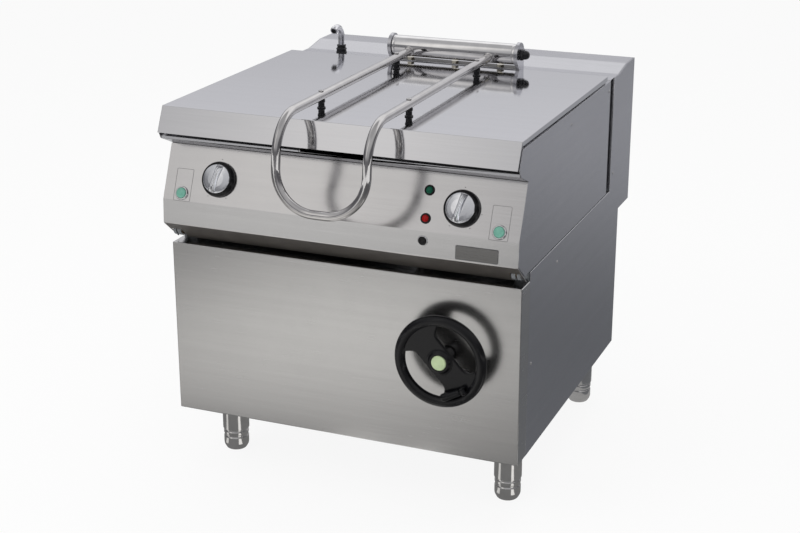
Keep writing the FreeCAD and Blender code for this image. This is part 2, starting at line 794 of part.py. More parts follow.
def make_tilt_frame():
    """Channel ring under the pan with two lugs for the pins and a rail for the sector."""
    block = box(
        "RingBlock", ("-lug_outer", "lug_outer"), ("ring_front", "ring_rear"), ("rail_bottom", "rail_top")
    )
    channel = box(
        "RingChannel",
        ("-lug_outer + frame_wall", "lug_outer - frame_wall"),
        ("ring_front + frame_wall", "ring_rear - frame_wall"),
        ("rail_bottom + frame_wall", "rail_top - frame_wall"),
    )
    window = box(
        "RingWindow",
        ("-lug_outer + rail_height", "lug_outer - rail_height"),
        ("ring_front + rail_height", "ring_rear - rail_height"),
        ("rail_bottom - 1", "rail_top + 1"),
    )
    ring = cut("Ring", block, channel, window)
    rail = box(
        "SectorRail",
        ("sector_x - sector_thick", "sector_x + sector_thick"),
        ("ring_front + 1", "ring_rear - 1"),
        ("rail_bottom", "rail_top"),
    )
    parts = [ring, rail]
    bores = []
    for side, low, web_low in (("Left", "-lug_outer", "-lug_outer"), ("Right", "lug_inner", "lug_inner")):
        lug = cylinder(f"{side}Lug", "x", (low, "pivot_back", "pivot_z"), "boss_radius", "lug_thick")
        web = box(
            f"{side}LugWeb",
            (web_low, web_low + " + lug_thick"),
            ("pivot_back", "ring_front + rail_height"),
            ("rail_bottom", "pivot_z + boss_radius"),
        )
        parts += [lug, web]
        bores.append(
            cylinder(
                f"{side}LugBore",
                "x",
                (low + " - 1", "pivot_back", "pivot_z"),
                "pin_radius + bush_wall",
                "lug_thick + 2",
            )
        )
    keep(cut("TiltFrame", fuse("TiltFrameSolid", *parts), *bores), "tilt_frame")


def make_buffers():
    pads = [
        cylinder(
            f"Buffer{number}",
            "z",
            (side + "(lug_outer - rail_height / 2)", "ring_rear - 2 * rail_height", "frame_top"),
            "frame_leg * 0.35",
            "buffer_height",
        )
        for number, side in enumerate(("-", ""), start=1)
    ]
    keep(group("RestBuffers", *pads), "rest_buffers")


# Drive: toothed sector, pinion, worm reducer and handwheel
PRESSURE = math.radians(25)
ADDENDUM = 0.9
DEDENDUM = 1.2


def tooth_flank(pitch, module, backlash):
    """Points of one flank, as radius and angle from the tooth's middle, from root to tip."""
    base = pitch * math.cos(PRESSURE)
    root = pitch - DEDENDUM * module
    tip = pitch + ADDENDUM * module
    half_tooth = (math.pi * module / 2 - backlash / 2) / (2 * pitch)
    rolled = math.tan(PRESSURE) - PRESSURE
    start = max(base, root)
    points = []
    if root < base:
        points.append((root, half_tooth + rolled))
    for step in range(5):
        radius = start + (tip - start) * step / 4
        unwound = math.acos(min(1.0, base / radius))
        points.append((radius, half_tooth + rolled - (math.tan(unwound) - unwound)))
    return points


def teeth_points(pitch, module, backlash, first_angle, step, count):
    """The toothed line through a run of teeth, in polar form, with rising angle."""
    flank = tooth_flank(pitch, module, backlash)
    line = []
    for number in range(count):
        middle = first_angle + number * step
        line += [(radius, middle - angle) for radius, angle in flank]
        line += [(radius, middle + angle) for radius, angle in reversed(flank)]
    return line


def polar_face(points, middle_y, middle_z, x):
    spots = [
        Vector(x, middle_y + radius * math.cos(angle), middle_z + radius * math.sin(angle))
        for radius, angle in points
    ]
    return Part.Face(Part.makePolygon(spots + spots[:1]))


def make_sector():
    """Quadrant under the pan: teeth on its rim, three arms and a foot bolted to the rail."""
    pitch = value("sector_pitch")
    module = value("gear_module")
    tooth = 2 * math.pi / value("sector_teeth")
    pivot_y = value("pivot_back")
    pivot_z = value("pivot_z")
    low_x = value("sector_x - sector_thick / 2")
    thick = value("sector_thick")
    mesh = -math.radians(value("mesh_angle"))
    swing = math.radians(value("tilt_angle"))
    count = math.ceil(swing / tooth) + 3
    first = mesh + (2.5 - count) * tooth
    line = teeth_points(pitch, module, value("gear_backlash"), first, tooth, count)
    root = pitch - DEDENDUM * module
    inner = root - value("sector_rim")
    low_angle = line[0][1]
    drop = value("rail_bottom") - pivot_z
    top_angle = math.asin(drop / root)
    back_angle = math.asin(drop / inner)
    upper = [(root, line[-1][1] + (top_angle - line[-1][1]) * step / 4) for step in range(1, 5)]
    back = [(inner, back_angle + (low_angle - back_angle) * step / 24) for step in range(25)]
    rim = polar_face(line + upper + back, pivot_y, pivot_z, low_x)
    solid = rim.extrude(Vector(thick, 0, 0))
    top = value("rail_bottom")
    bar = value("sector_rim")
    hub_y = pivot_y + 3 * bar
    foot = Part.makeBox(thick, root - bar / 2 - 3 * bar, bar, Vector(low_x, hub_y, top - bar))
    arms = [foot]
    middle = (inner + root) / 2
    for share in (0.5, 1.0):
        angle = top_angle + (low_angle - top_angle) * share + (0.03 if share == 1.0 else 0)
        end = Vector(low_x, pivot_y + middle * math.cos(angle), pivot_z + middle * math.sin(angle))
        start = Vector(low_x, hub_y + bar, top - bar / 2)
        along = end - start
        across = Vector(0, -along.z, along.y).normalize() * bar / 2
        corners = [start + across, end + across, end - across, start - across, start + across]
        arms.append(Part.Face(Part.makePolygon(corners)).extrude(Vector(thick, 0, 0)))
    solid = solid.multiFuse(arms)
    flange = Part.makeBox(2 * thick, root - 6 * bar, 6, Vector(low_x - thick / 2, hub_y, top - 6))
    item = doc.addObject("Part::Feature", "TiltSector")
    item.Shape = solid.fuse(flange).removeSplitter()
    keep(item, "tilt_sector")


def make_pinion():
    module = value("gear_module")
    count = int(value("pinion_teeth"))
    toward_pivot = math.pi - math.radians(value("mesh_angle"))
    tooth = 2 * math.pi / count
    line = teeth_points(
        value("pinion_pitch"), module, value("gear_backlash"), toward_pivot, tooth, count
    )
    low_x = value("sector_x - pinion_width / 2")
    face = polar_face(line, value("pinion_y"), value("pinion_z"), low_x)
    gear = face.extrude(Vector(value("pinion_width"), 0, 0))
    axis_point = Vector(low_x, value("pinion_y"), value("pinion_z"))
    shaft = Part.makeCylinder(
        value("output_radius"), value("reducer_left + 32") - low_x, axis_point, Vector(1, 0, 0)
    )
    item = doc.addObject("Part::Feature", "PinionShaft")
    item.Shape = gear.fuse(shaft).removeSplitter()
    keep(item, "pinion_shaft")


def make_reducer():
    low = "wheel_z - reducer_half"
    high = "pinion_z + reducer_half"
    housing = rounded(
        "ReducerHousing",
        box(
            "ReducerBlock",
            ("reducer_left", "reducer_left + 2 * reducer_half"),
            ("reducer_front", "reducer_front + reducer_deep"),
            (low, high),
        ),
        "reducer_half / 5",
        lambda edge: edge.BoundBox.XLength > 1,
    )
    worm_boss = cylinder(
        "WormBoss", "y", ("wheel_x", "reducer_front - 15", "wheel_z"), "reducer_half * 0.65", "20"
    )
    output_boss = cylinder(
        "OutputBoss", "x", ("reducer_left - 6", "pinion_y", "pinion_z"), "reducer_half * 0.8", "10"
    )
    cover = cylinder(
        "WheelCover",
        "x",
        ("reducer_left + 2 * reducer_half - 1", "pinion_y", "pinion_z"),
        "reducer_half * 0.9",
        "7",
    )
    worm_bore = cylinder(
        "WormBore", "y", ("wheel_x", "reducer_front - 16", "wheel_z"), "shaft_radius + fit", "46"
    )
    output_bore = cylinder(
        "OutputBore", "x", ("reducer_left - 7", "pinion_y", "pinion_z"), "output_radius + fit", "45"
    )
    solid = fuse("ReducerSolid", housing, worm_boss, output_boss, cover)
    keep(cut("WormReducer", solid, worm_bore, output_bore), "worm_reducer")
    stand_line = (
        ("reducer_left + 4", "frame_bottom"),
        ("reducer_left + 4", low),
        ("reducer_left + 2 * reducer_half - 4", low),
        ("reducer_left + 2 * reducer_half - 4", "frame_bottom"),
    )
    sketch = loose_sketch("StandFold", FACING_Y, "reducer_front + reducer_deep")
    draw_line(sketch, stand_line, closed=False)
    strip = doc.addObject("Part::Offset2D", "StandStrip")
    strip.Source = sketch
    bind(strip, "Value", "-channel_wall")
    strip.Mode = "Skin"
    strip.Join = "Intersection"
    strip.Fill = True
    stand = extrude("ReducerStand", strip, "reducer_deep", Vector(0, -1, 0))
    keep(stand, "reducer_stand")


def make_wheel_bearing():
    """Flanged bearing behind the front panel."""
    flange = cylinder("BearingFlange", "y", ("wheel_x", "skin", "wheel_z"), "shaft_radius * 3", "6")
    neck = cylinder("BearingNeck", "y", ("wheel_x", "skin", "wheel_z"), "shaft_radius * 1.8", "22")
    bore = cylinder("BearingBore", "y", ("wheel_x", "0", "wheel_z"), "shaft_radius + fit", "40")
    keep(cut("ShaftBearing", fuse("BearingSolid", flange, neck), bore), "shaft_bearing")


RIM_FLATS = 12


def make_handwheel():
    """Moulded wheel: round rim, two-lobed web with two openings, stepped hub."""
    wheel = body("Handwheel")
    rim = body_sketch(wheel, "XZ_Plane")
    draw_circle(rim, "0", "0", "wheel_radius - rim_radius * 0.4")
    pad(wheel, rim, "web_thick")
    ring = body_sketch(wheel, "YZ_Plane")
    corners = []
    for number in range(RIM_FLATS):
        turn = math.pi * (2 * number + 1) / RIM_FLATS
        out = 1 / math.cos(math.pi / RIM_FLATS)
        corners.append(
            (
                f"-web_thick / 2 + rim_radius * {out * math.cos(turn):.5f}",
                f"wheel_radius - rim_radius + rim_radius * {out * math.sin(turn):.5f}",
            )
        )
    draw_line(ring, corners)
    turned = wheel.newObject("PartDesign::Revolution", "HandwheelRim")
    turned.Profile = ring
    turned.ReferenceAxis = (ring, ["H_Axis"])
    turned.Angle = 360
    hub = body_sketch(wheel, "XZ_Plane", "web_thick")
    draw_circle(hub, "0", "0", "hub_radius")
    pad(wheel, hub, "rim_radius / 2")
    neck = body_sketch(wheel, "XZ_Plane")
    draw_circle(neck, "0", "0", "hub_radius * 0.8")
    pad(wheel, neck, "wheel_lead - web_thick / 2 - 4", backwards=True)
    seat = body_sketch(wheel, "XZ_Plane", "web_thick + rim_radius / 2")
    draw_circle(seat, "0", "0", "cap_radius + fit")
    pocket(wheel, seat, "6")
    bore = body_sketch(wheel, "XZ_Plane", "web_thick")
    draw_circle(bore, "0", "0", "shaft_radius + fit")
    pocket(wheel, bore, "2 * wheel_lead")
    lobe = body_sketch(wheel, "XZ_Plane", "web_thick + 1")
    draw_lobe(lobe)
    opening = pocket(wheel, lobe, "web_thick + 2")
    pattern = wheel.newObject("PartDesign::PolarPattern", "HandwheelOpenings")
    pattern.Originals = [opening]
    pattern.Axis = (lobe, ["N_Axis"])
    pattern.Angle = 360
    pattern.Occurrences = 2
    wheel.Tip = pattern
    spot = ("wheel_x", "-wheel_lead + web_thick / 2", "wheel_z")
    start, along, radial = grip_frame()
    centre = start - Vector(*(value(text) for text in spot))
    half = value("eye_half + play")
    wall = value("grip_ear")
    round_end = value("eye_radius - 2 * play")
    foot = centre.y + value("web_thick") - 1
    ears = []
    for side, low in (("Inner", -half - wall), ("Outer", half)):
        ear = doc.addObject("Part::Feature", side + "GripEar")
        eye = Part.makeCylinder(round_end, wall, centre + radial * low, radial)
        corner = centre + radial * low - along * round_end
        leg = Part.makePolygon(
            [
                corner,
                corner + along * 2 * round_end,
                corner + along * 2 * round_end - Vector(0, foot, 0),
                corner - Vector(0, foot, 0),
                corner,
            ]
        )
        ear.Shape = eye.fuse(Part.Face(leg).extrude(radial * wall)).removeSplitter()
        ears.append(ear)
    hole = doc.addObject("Part::Feature", "GripPinHole")
    hole.Shape = Part.makeCylinder(
        value("grip_pin + fit"), 2 * (half + wall + 1), centre - radial * (half + wall + 1), radial
    )
    keep(cut("HandwheelDone", fuse("HandwheelWithEars", wheel, *ears), hole), "handwheel", spot)


def draw_lobe(sketch):
    """One D-shaped opening: a straight edge by the hub and an arc inside the rim."""
    inside = value("wheel_radius - 2 * rim_radius")
    near = value("web_half")
    lean = math.radians(223)
    spread = math.radians(52)
    outward = Vector(math.cos(lean), math.sin(lean), 0)
    side = Vector(-outward.y, outward.x, 0)

    def arc_point(angle):
        return (outward * math.cos(angle) + side * math.sin(angle)) * inside

    reach = arc_point(spread).dot(side) * 0.8
    tip = arc_point(spread)
    foot = outward * near + side * reach
    ease = value("lobe_corner")

    def toward(start, end, length):
        return start + (end - start).normalize() * length

    half = []
    for corner, before, after in (
        (foot, outward * near, tip),
        (tip, foot, arc_point(spread - ease / inside)),
    ):
        first = toward(corner, before, ease)
        last = toward(corner, after, ease) if corner is foot else after
        crown = (first + last) * 0.3 + corner * 0.4
        half.append((first, crown, last))
    mirrored = [[point - side * 2 * point.dot(side) for point in arc] for arc in half]
    for arcs in (half, mirrored):
        for first, crown, last in arcs:
            sketch.addGeometry(Part.Arc(first, crown, last))
        sketch.addGeometry(Part.LineSegment(arcs[0][2], arcs[1][0]))
    sketch.addGeometry(Part.LineSegment(half[0][0], mirrored[0][0]))
    sketch.addGeometry(Part.Arc(half[1][2], arc_point(0), mirrored[1][2]))


def make_wheel_fittings():
    cap = lathe(
        "HubCap",
        (
            ("0", "0"),
            ("cap_radius", "0"),
            ("cap_radius", "6"),
            ("cap_radius * 0.92", "7.5"),
            ("0", "9"),
        ),
    )
    cap.Placement.Rotation = Rotation(Vector(1, 0, 0), 90)
    keep(cap, "hub_cap", ("wheel_x", "-wheel_lead - web_thick / 2 - rim_radius / 2 + 6 - play", "wheel_z"))
    shaft = cylinder("ShaftRod", "y", ("0", "0", "0"), "shaft_radius", "reducer_front + 25 + wheel_lead")
    keep(shaft, "wheel_shaft", ("wheel_x", "-wheel_lead - 4", "wheel_z"))


def grip_frame():
    """The grip pin's middle, the folded grip's direction and the pin's direction."""
    angle = math.radians(value("grip_angle"))
    reach = value("wheel_radius - 2.65 * rim_radius")
    front = value("-wheel_lead - web_thick / 2 - grip_radius - play")
    radial = Vector(math.cos(angle), 0, -math.sin(angle))
    along = Vector(-math.sin(angle), 0, -math.cos(angle))
    middle = Vector(value("wheel_x"), front, value("wheel_z")) + radial * reach
    return middle - along * value("grip_length / 2"), along, radial


def make_crank_grip():
    """Grip folded against the web; it swings out about a pin between two ears."""
    start, along, radial = grip_frame()
    radius = value("grip_radius")
    length = value("grip_length")
    half = value("eye_half")
    pin_half = half + value("play + grip_ear")
    neck_end = value("eye_radius + play")
    eye = Part.makeCylinder(value("eye_radius"), 2 * half, start - radial * half, radial)
    pin = Part.makeCylinder(value("grip_pin"), 2 * pin_half, start - radial * pin_half, radial)
    neck = Part.makeCylinder(half * 0.9, neck_end, start, along)
    handle = Part.makeCone(radius * 0.72, radius, length - neck_end - 3, start + along * neck_end, along)
    end = Part.makeCone(radius, radius * 0.7, 3, start + along * (length - 3), along)
    item = doc.addObject("Part::Feature", "CrankGrip")
    item.Shape = eye.multiFuse([pin, neck, handle, end]).removeSplitter()
    keep(item, "crank_grip")


# Cooking pan and what heats it
def well(name, grow, top):
    """The pan's inner volume, grown by a wall, with upright corners rounded."""
    low = f"floor_z - ({grow})"
    outline = (
        (f"well_rear + ({grow})", low),
        (f"well_rear + ({grow})", top),
        (f"well_front - ({grow})", top),
        (f"well_front - ({grow}) + well_lean", low),
    )
    block = plate(name + "Block", outline, (f"-well_half - ({grow})", f"well_half + ({grow})"))
    return rounded(
        name, block, f"well_corner + ({grow})", lambda edge: edge.BoundBox.ZLength > 50
    )


def make_pan():
    shell = well("WellOuter", "pan_wall", "body_top")
    inside = well("WellInner", "0", "body_top + 1")
    spout = plate(
        "SpoutBlock",
        (
            ("well_front + well_lean / 3 + 6", "spout_z - 31"),
            ("-spout_lead", "spout_z - 3"),
            ("-spout_lead", "spout_z + 2"),
            ("-1", "body_top - skin"),
            ("-1", "body_top"),
            ("well_front + pan_wall", "body_top"),
        ),
        ("spout_middle - spout_half", "spout_middle + spout_half"),
    )
    channel = plate(
        "SpoutChannel",
        (
            ("well_front + well_lean / 3 + 8", "spout_z - 28.5"),
            ("-spout_lead - 2", "spout_z"),
            ("-spout_lead - 2", "body_top + 2"),
            ("well_front + well_lean / 3 + 8", "body_top + 2"),
        ),
        ("spout_middle - spout_half + pan_wall", "spout_middle + spout_half - pan_wall"),
    )
    keep(cut("PanTank", fuse("PanSolid", shell, spout), inside, channel), "pan_tank")
    plate_box = box(
        "SpreaderPlate",
        ("-well_half + well_corner", "well_half - well_corner"),
        ("well_front + well_lean + well_corner / 2", "well_rear - well_corner / 2"),
        ("plate_bottom", "floor_z - pan_wall"),
    )
    keep(
        plate_box,
        "pan_base_plate",
        ("-well_half + well_corner", "well_front + well_lean + well_corner / 2", "plate_bottom"),
    )


def make_elements():
    """Two flat-pressed heaters, each with three bends, against the spreader plate."""
    radius = value("element_radius")
    pitch = value("element_pitch")
    height = value("element_z")
    near = value("well_front + well_lean + 2 * well_corner")
    far = value("well_rear - 1.5 * well_corner")
    solids = []
    for side in (-1, 1):
        edges = []
        spot = Vector(side * pitch * 0.6, near, height)
        for run in range(4):
            outward = run < 3
            end_y = far - pitch / 2 if run % 2 == 0 else near + pitch / 2
            end = Vector(spot.x, end_y, height)
            edges.append(Part.LineSegment(spot, end).toShape())
            if outward:
                turn = 1 if run % 2 == 0 else -1
                middle = end + Vector(side * pitch / 2, 0, 0)
                crest = middle + Vector(0, turn * pitch / 2, 0)
                spot = end + Vector(side * pitch, 0, 0)
                edges.append(Part.Arc(end, crest, spot).toShape())
        outline = Part.Wire(edges).makeOffset2D(radius, 2, False, False, True)
        outline.translate(Vector(0, 0, -radius))
        solids.append(Part.Face(outline).extrude(Vector(0, 0, 2 * radius)))
    item = doc.addObject("Part::Feature", "HeatingElements")
    item.Shape = Part.makeCompound(solids)
    keep(item, "heating_elements")


def make_heater_tray():
    sides = ("-lug_outer + rail_height - 8", "lug_outer - rail_height + 8")
    ends = ("ring_front + rail_height - 8", "ring_rear - rail_height + 8")
    outside = box("TrayOutside", sides, ends, ("rail_top", "rail_top + tray_height"))
    inside = box(
        "TrayInside",
        (sides[0] + " + skin", sides[1] + " - skin"),
        (ends[0] + " + skin", ends[1] + " - skin"),
        ("rail_top + skin", "rail_top + tray_height + 1"),
    )
    keep(cut("HeaterTray", outside, inside), "heater_tray")


# Skins of the tilting body
def make_cheek(node, low, high):
    step = "skin + 2 * seam"
    outline = (
        ("tuck_back + 3", "body_bottom + skin"),
        (f"-panel_nose_lead + {step}", "panel_nose_z + skin"),
        (f"-panel_fold_lead + {step}", "panel_fold_z"),
        (f"panel_top_back + {step}", "panel_top_z"),
        ("-spout_lead + skin / 2", "spout_z - 4"),
        ("-apron_lead + 3 * skin", "apron_z + 1"),
        ("-lid_front_lead - skin", "body_top"),
        ("body_rear", "body_top"),
        ("body_rear", "body_bottom + skin"),
    )
    keep(plate(node.title().replace("_", ""), outline, (low, high)), node)


def make_deck():
    """Folded deck round the pan: front nose with the spout's notch, top and rear wall."""
    line = (
        ("panel_top_back - 2", "panel_top_z + 3 * seam"),
        ("-spout_lead", "spout_z - 4"),
        ("-spout_lead", "spout_z + 2"),
        ("1", "body_top"),
        ("body_rear - skin", "body_top"),
        ("body_rear - skin", "body_bottom + 3"),
    )
    strip = folded("DeckStrip", line, "skin", ("-inner + seam", "inner - seam"))
    opening = well("DeckOpening", "pan_wall + seam", "body_top + 1")
    notch = plate(
        "DeckNotch",
        (
            ("well_front + well_lean / 3", "spout_z - 22"),
            ("-spout_lead - 2", "spout_z - 3.5"),
            ("-spout_lead - 2", "body_top + 2"),
            ("well_front + well_lean / 3", "body_top + 2"),
        ),
        ("spout_middle - spout_half - seam", "spout_middle + spout_half + seam"),
    )
    keep(cut("TopDeck", strip, opening, notch), "top_deck")


def on_slope(height):
    """Expressions for the Y of the control panel's face at a height."""
    run = "(panel_top_back + panel_fold_lead) / (panel_top_z - panel_fold_z)"
    return f"panel_top_back + ({height} - panel_top_z) * {run}"


def on_band(height):
    """The same on the lower band."""
    run = "(panel_nose_lead - panel_fold_lead) / (panel_fold_z - panel_nose_z)"
    return f"-panel_fold_lead + ({height} - panel_fold_z) * {run}"


def facing(item, angle, spot):
    """Stand an object on the panel's face, with its own +Z pointing out."""
    item.Placement = Placement(Vector(), Rotation(Vector(1, 0, 0), value(angle)))
    bind(item, "Placement.Rotation.Angle", angle)
    for letter, text in zip("xyz", spot):
        bind(item, f"Placement.Base.{letter}", text)
    return item


def panel_spots():
    """Where each control stands: name, X, height, radius of its hole."""
    return (
        ("LeftKnob", "-knob_offset", "knob_z", "spindle_radius + 5 * play"),
        ("RightKnob", "knob_offset", "knob_z", "spindle_radius + 5 * play"),
        ("LeftButton", "-button_offset", "button_z", "button_radius + 1.5 + play"),
        ("RightButton", "button_offset", "button_z", "button_radius + 1.5 + play"),
        ("GreenPilot", "pilot_x", "green_z", "lens_radius + 1.5 + play"),
        ("RedPilot", "pilot_x", "red_z", "lens_radius + 1.5 + play"),
    )


def make_control_panel():
    line = (
        ("tuck_back", "base_top - 1"),
        ("-panel_nose_lead", "panel_nose_z"),
        ("-panel_fold_lead", "panel_fold_z"),
        ("panel_top_back", "panel_top_z"),
    )
    strip = folded("PanelStrip", line, "skin", ("-half", "half"))
    holes = []
    for name, x, height, radius in panel_spots():
        hole = doc.addObject("Part::Cylinder", name + "Hole")
        bind(hole, "Radius", radius)
        hole.Height = 40
        spot = (x, f"{on_slope(height)} + 20 * sin(panel_angle)", f"{height} - 20 * cos(panel_angle)")
        holes.append(facing(hole, "panel_angle", spot))
    reset = doc.addObject("Part::Cylinder", "ResetHole")
    bind(reset, "Radius", "reset_radius + 1.5 + play")
    reset.Height = 40
    spot = (
        "reset_x",
        f"{on_band('reset_z')} + 20 * sin(band_angle)",
        "reset_z - 20 * cos(band_angle)",
    )
    holes.append(facing(reset, "band_angle", spot))
    for side, low in (("Left", "-inner + seam"), ("Right", "lug_inner - 6 * seam")):
        notch = cylinder(
            f"{side}PivotNotch",
            "x",
            (low, "pivot_back", "pivot_z"),
            "boss_radius + 12 * play",
            "inner - lug_inner + 5 * seam",
        )
        holes.append(notch)
    keep(cut("ControlPanel", strip, *holes), "control_panel")


def collar(name, reach, outer, inner, rise, depth):
    """Flanged collar through the panel: flange outside, closed barrel inside."""
    flange = cylinder(name + "Flange", "z", ("0", "0", "0"), outer, rise)
    barrel = cylinder(name + "Barrel", "z", ("0", "0", f"-({depth})"), f"{inner} + 1.5", f"{depth} + 1")
    bore = cylinder(name + "Bore", "z", ("0", "0", f"-({reach})"), inner, f"{reach} + {rise} + 1")
    return cut(name, fuse(name + "Solid", flange, barrel), bore)


def make_buttons():
    deep = "button_travel * 2 + 9"
    bezels = []
    for side, sign in (("left", "-"), ("right", "")):
        x = sign + "button_offset"
        spot = (x, on_slope("button_z"), "button_z")
        bezel = collar(
            side.title() + "Bezel", deep, "bezel_radius", "button_radius + play", "bezel_rise", deep + " + 2"
        )
        bezels.append(facing(bezel, "panel_angle", spot))
        button = lathe(
            side.title() + "Button",
            (
                ("0", "-button_travel - 8"),
                ("button_radius", "-button_travel - 8"),
                ("button_radius", "button_rise - 2"),
                ("button_radius * 0.8", "button_rise - 0.5"),
                ("0", "button_rise"),
            ),
        )
        facing(button, "panel_angle", spot)
        keep(button, side + "_button", spot)
    reset_spot = ("reset_x", on_band("reset_z"), "reset_z")
    reset_collar = collar("ResetCollar", deep, "reset_radius + 2.5", "reset_radius + play", "2", deep + " + 2")
    bezels.append(facing(reset_collar, "band_angle", reset_spot))
    keep(group("ButtonBezels", *bezels), "button_bezels")
    reset = lathe(
        "ResetButton",
        (
            ("0", "-button_travel - 8"),
            ("reset_radius", "-button_travel - 8"),
            ("reset_radius", "4"),
            ("reset_radius * 0.8", "5"),
            ("0", "5.5"),
        ),
    )
    facing(reset, "band_angle", reset_spot)
    keep(reset, "reset_button", reset_spot)


def make_pilots():
    bezels = []
    for colour, height in (("green", "green_z"), ("red", "red_z")):
        spot = ("pilot_x", on_slope(height), height)
        bezel = collar(colour.title() + "Bezel", "8", "pilot_radius", "lens_radius", "3", "12")
        bezels.append(facing(bezel, "panel_angle", spot))
        lens = lathe(
            colour.title() + "Lens",
            (
                ("0", "-8"),
                ("lens_radius - fit", "-8"),
                ("lens_radius - fit", "3"),
                ("lens_radius * 0.7", "4.6"),
                ("0", "5.2"),
            ),
        )
        facing(lens, "panel_angle", spot)
        keep(lens, colour + "_pilot_lens", spot)
    keep(group("PilotBezels", *bezels), "pilot_bezels")


def make_knobs():
    switches = []
    for side, sign in (("left", "-"), ("right", "")):
        spot = (sign + "knob_offset", on_slope("knob_z"), "knob_z")
        knob = lathe(
            side.title() + "Knob",
            (
                ("0", "-12"),
                ("spindle_radius", "-12"),
                ("spindle_radius", "2 * play"),
                ("knob_radius", "2 * play"),
                ("knob_radius", "knob_height * 0.45"),
                ("knob_radius - 2", "knob_height - 2"),
                ("face_radius + 1", "knob_height"),
                ("0", "knob_height"),
            ),
        )
        facing(knob, "panel_angle", spot)
        keep(knob, side + "_knob", spot)
        face = make_knob_face(side.title() + "KnobFace")
        facing(face, "panel_angle", spot)
        keep(face, side + "_knob_face", spot)
        block = box(
            side.title() + "SwitchBlock",
            ("-switch_side / 2", "switch_side / 2"),
            ("-switch_side / 2", "switch_side / 2"),
            ("-skin - switch_depth", "-skin"),
        )
        bore = cylinder(side.title() + "SwitchBore", "z", ("0", "0", "-14"), "spindle_radius + fit", "20")
        switches.append(facing(cut(side.title() + "Switch", block, bore), "panel_angle", spot))
    keep(group("SwitchBodies", *switches), "switch_bodies")


def make_knob_face(name):
    """Domed metal face with a raised, waisted bar across it."""
    face = body(name)
    dome = body_sketch(face, "XZ_Plane")
    draw_line(
        dome,
        (
            ("0", "knob_height"),
            ("face_radius", "knob_height"),
            ("face_radius * 0.9", "knob_height + face_rise * 0.5"),
            ("face_radius * 0.5", "knob_height + face_rise * 0.9"),
            ("0", "knob_height + face_rise"),
        ),
    )
    revolve(face, dome)
    bar = body_sketch(face, "XY_Plane", "knob_height")
    lean = math.radians(value("knob_lean"))
    turned = []
    for across, up in ((-0.5, -0.93), (0.5, -0.93), (0.38, 0), (0.5, 0.93), (-0.5, 0.93), (-0.38, 0)):
        turned.append(
            (
                f"bar_width * {across * math.cos(lean):.5f} + face_radius * {up * math.sin(lean):.5f}",
                f"face_radius * {up * math.cos(lean):.5f} - bar_width * {across * math.sin(lean):.5f}",
            )
        )
    draw_line(bar, turned)
    pad(face, bar, "bar_rise")
    return face


# Lid, its hinge and its handle
def make_lid():
    line = (
        ("-apron_lead", "apron_z"),
        ("-lid_front_lead", "lid_top"),
        ("lid_rear", "lid_top"),
        ("lid_rear", "lid_top - lid_flange"),
    )
    strip = folded("LidStrip", line, "skin", ("-lid_half", "lid_half"))
    flanges = [
        box(
            f"LidFlange{number}",
            x,
            ("-lid_front_lead", "lid_rear - skin"),
            ("lid_top - lid_flange", "lid_top - skin / 2"),
        )
        for number, x in enumerate(
            (("-lid_half", "-lid_half + skin"), ("lid_half - skin", "lid_half")), start=1
        )
    ]
    notch = box(
        "LidNotch",
        ("ear_left - 2", "ear_right + 2"),
        ("channel_front - 2", "lid_rear + 1"),
        ("lid_top - lid_flange - 1", "lid_top + 1"),
    )
    keep(cut("LidShell", fuse("LidSolid", strip, *flanges), notch), "lid_shell")
    sides = ("-lid_half + liner_inset", "lid_half - liner_inset")
    ends = ("-lid_front_lead + liner_inset + 6", "channel_front - 4")
    outside = box("LinerOutside", sides, ends, ("lid_top - lid_flange + seam", "lid_top - skin"))
    inside = box(
        "LinerInside",
        (sides[0] + " + skin", sides[1] + " - skin"),
        (ends[0] + " + skin", ends[1] + " - skin"),
        ("lid_top - lid_flange + seam + skin", "lid_top"),
    )
    keep(cut("LidLiner", outside, inside), "lid_liner")


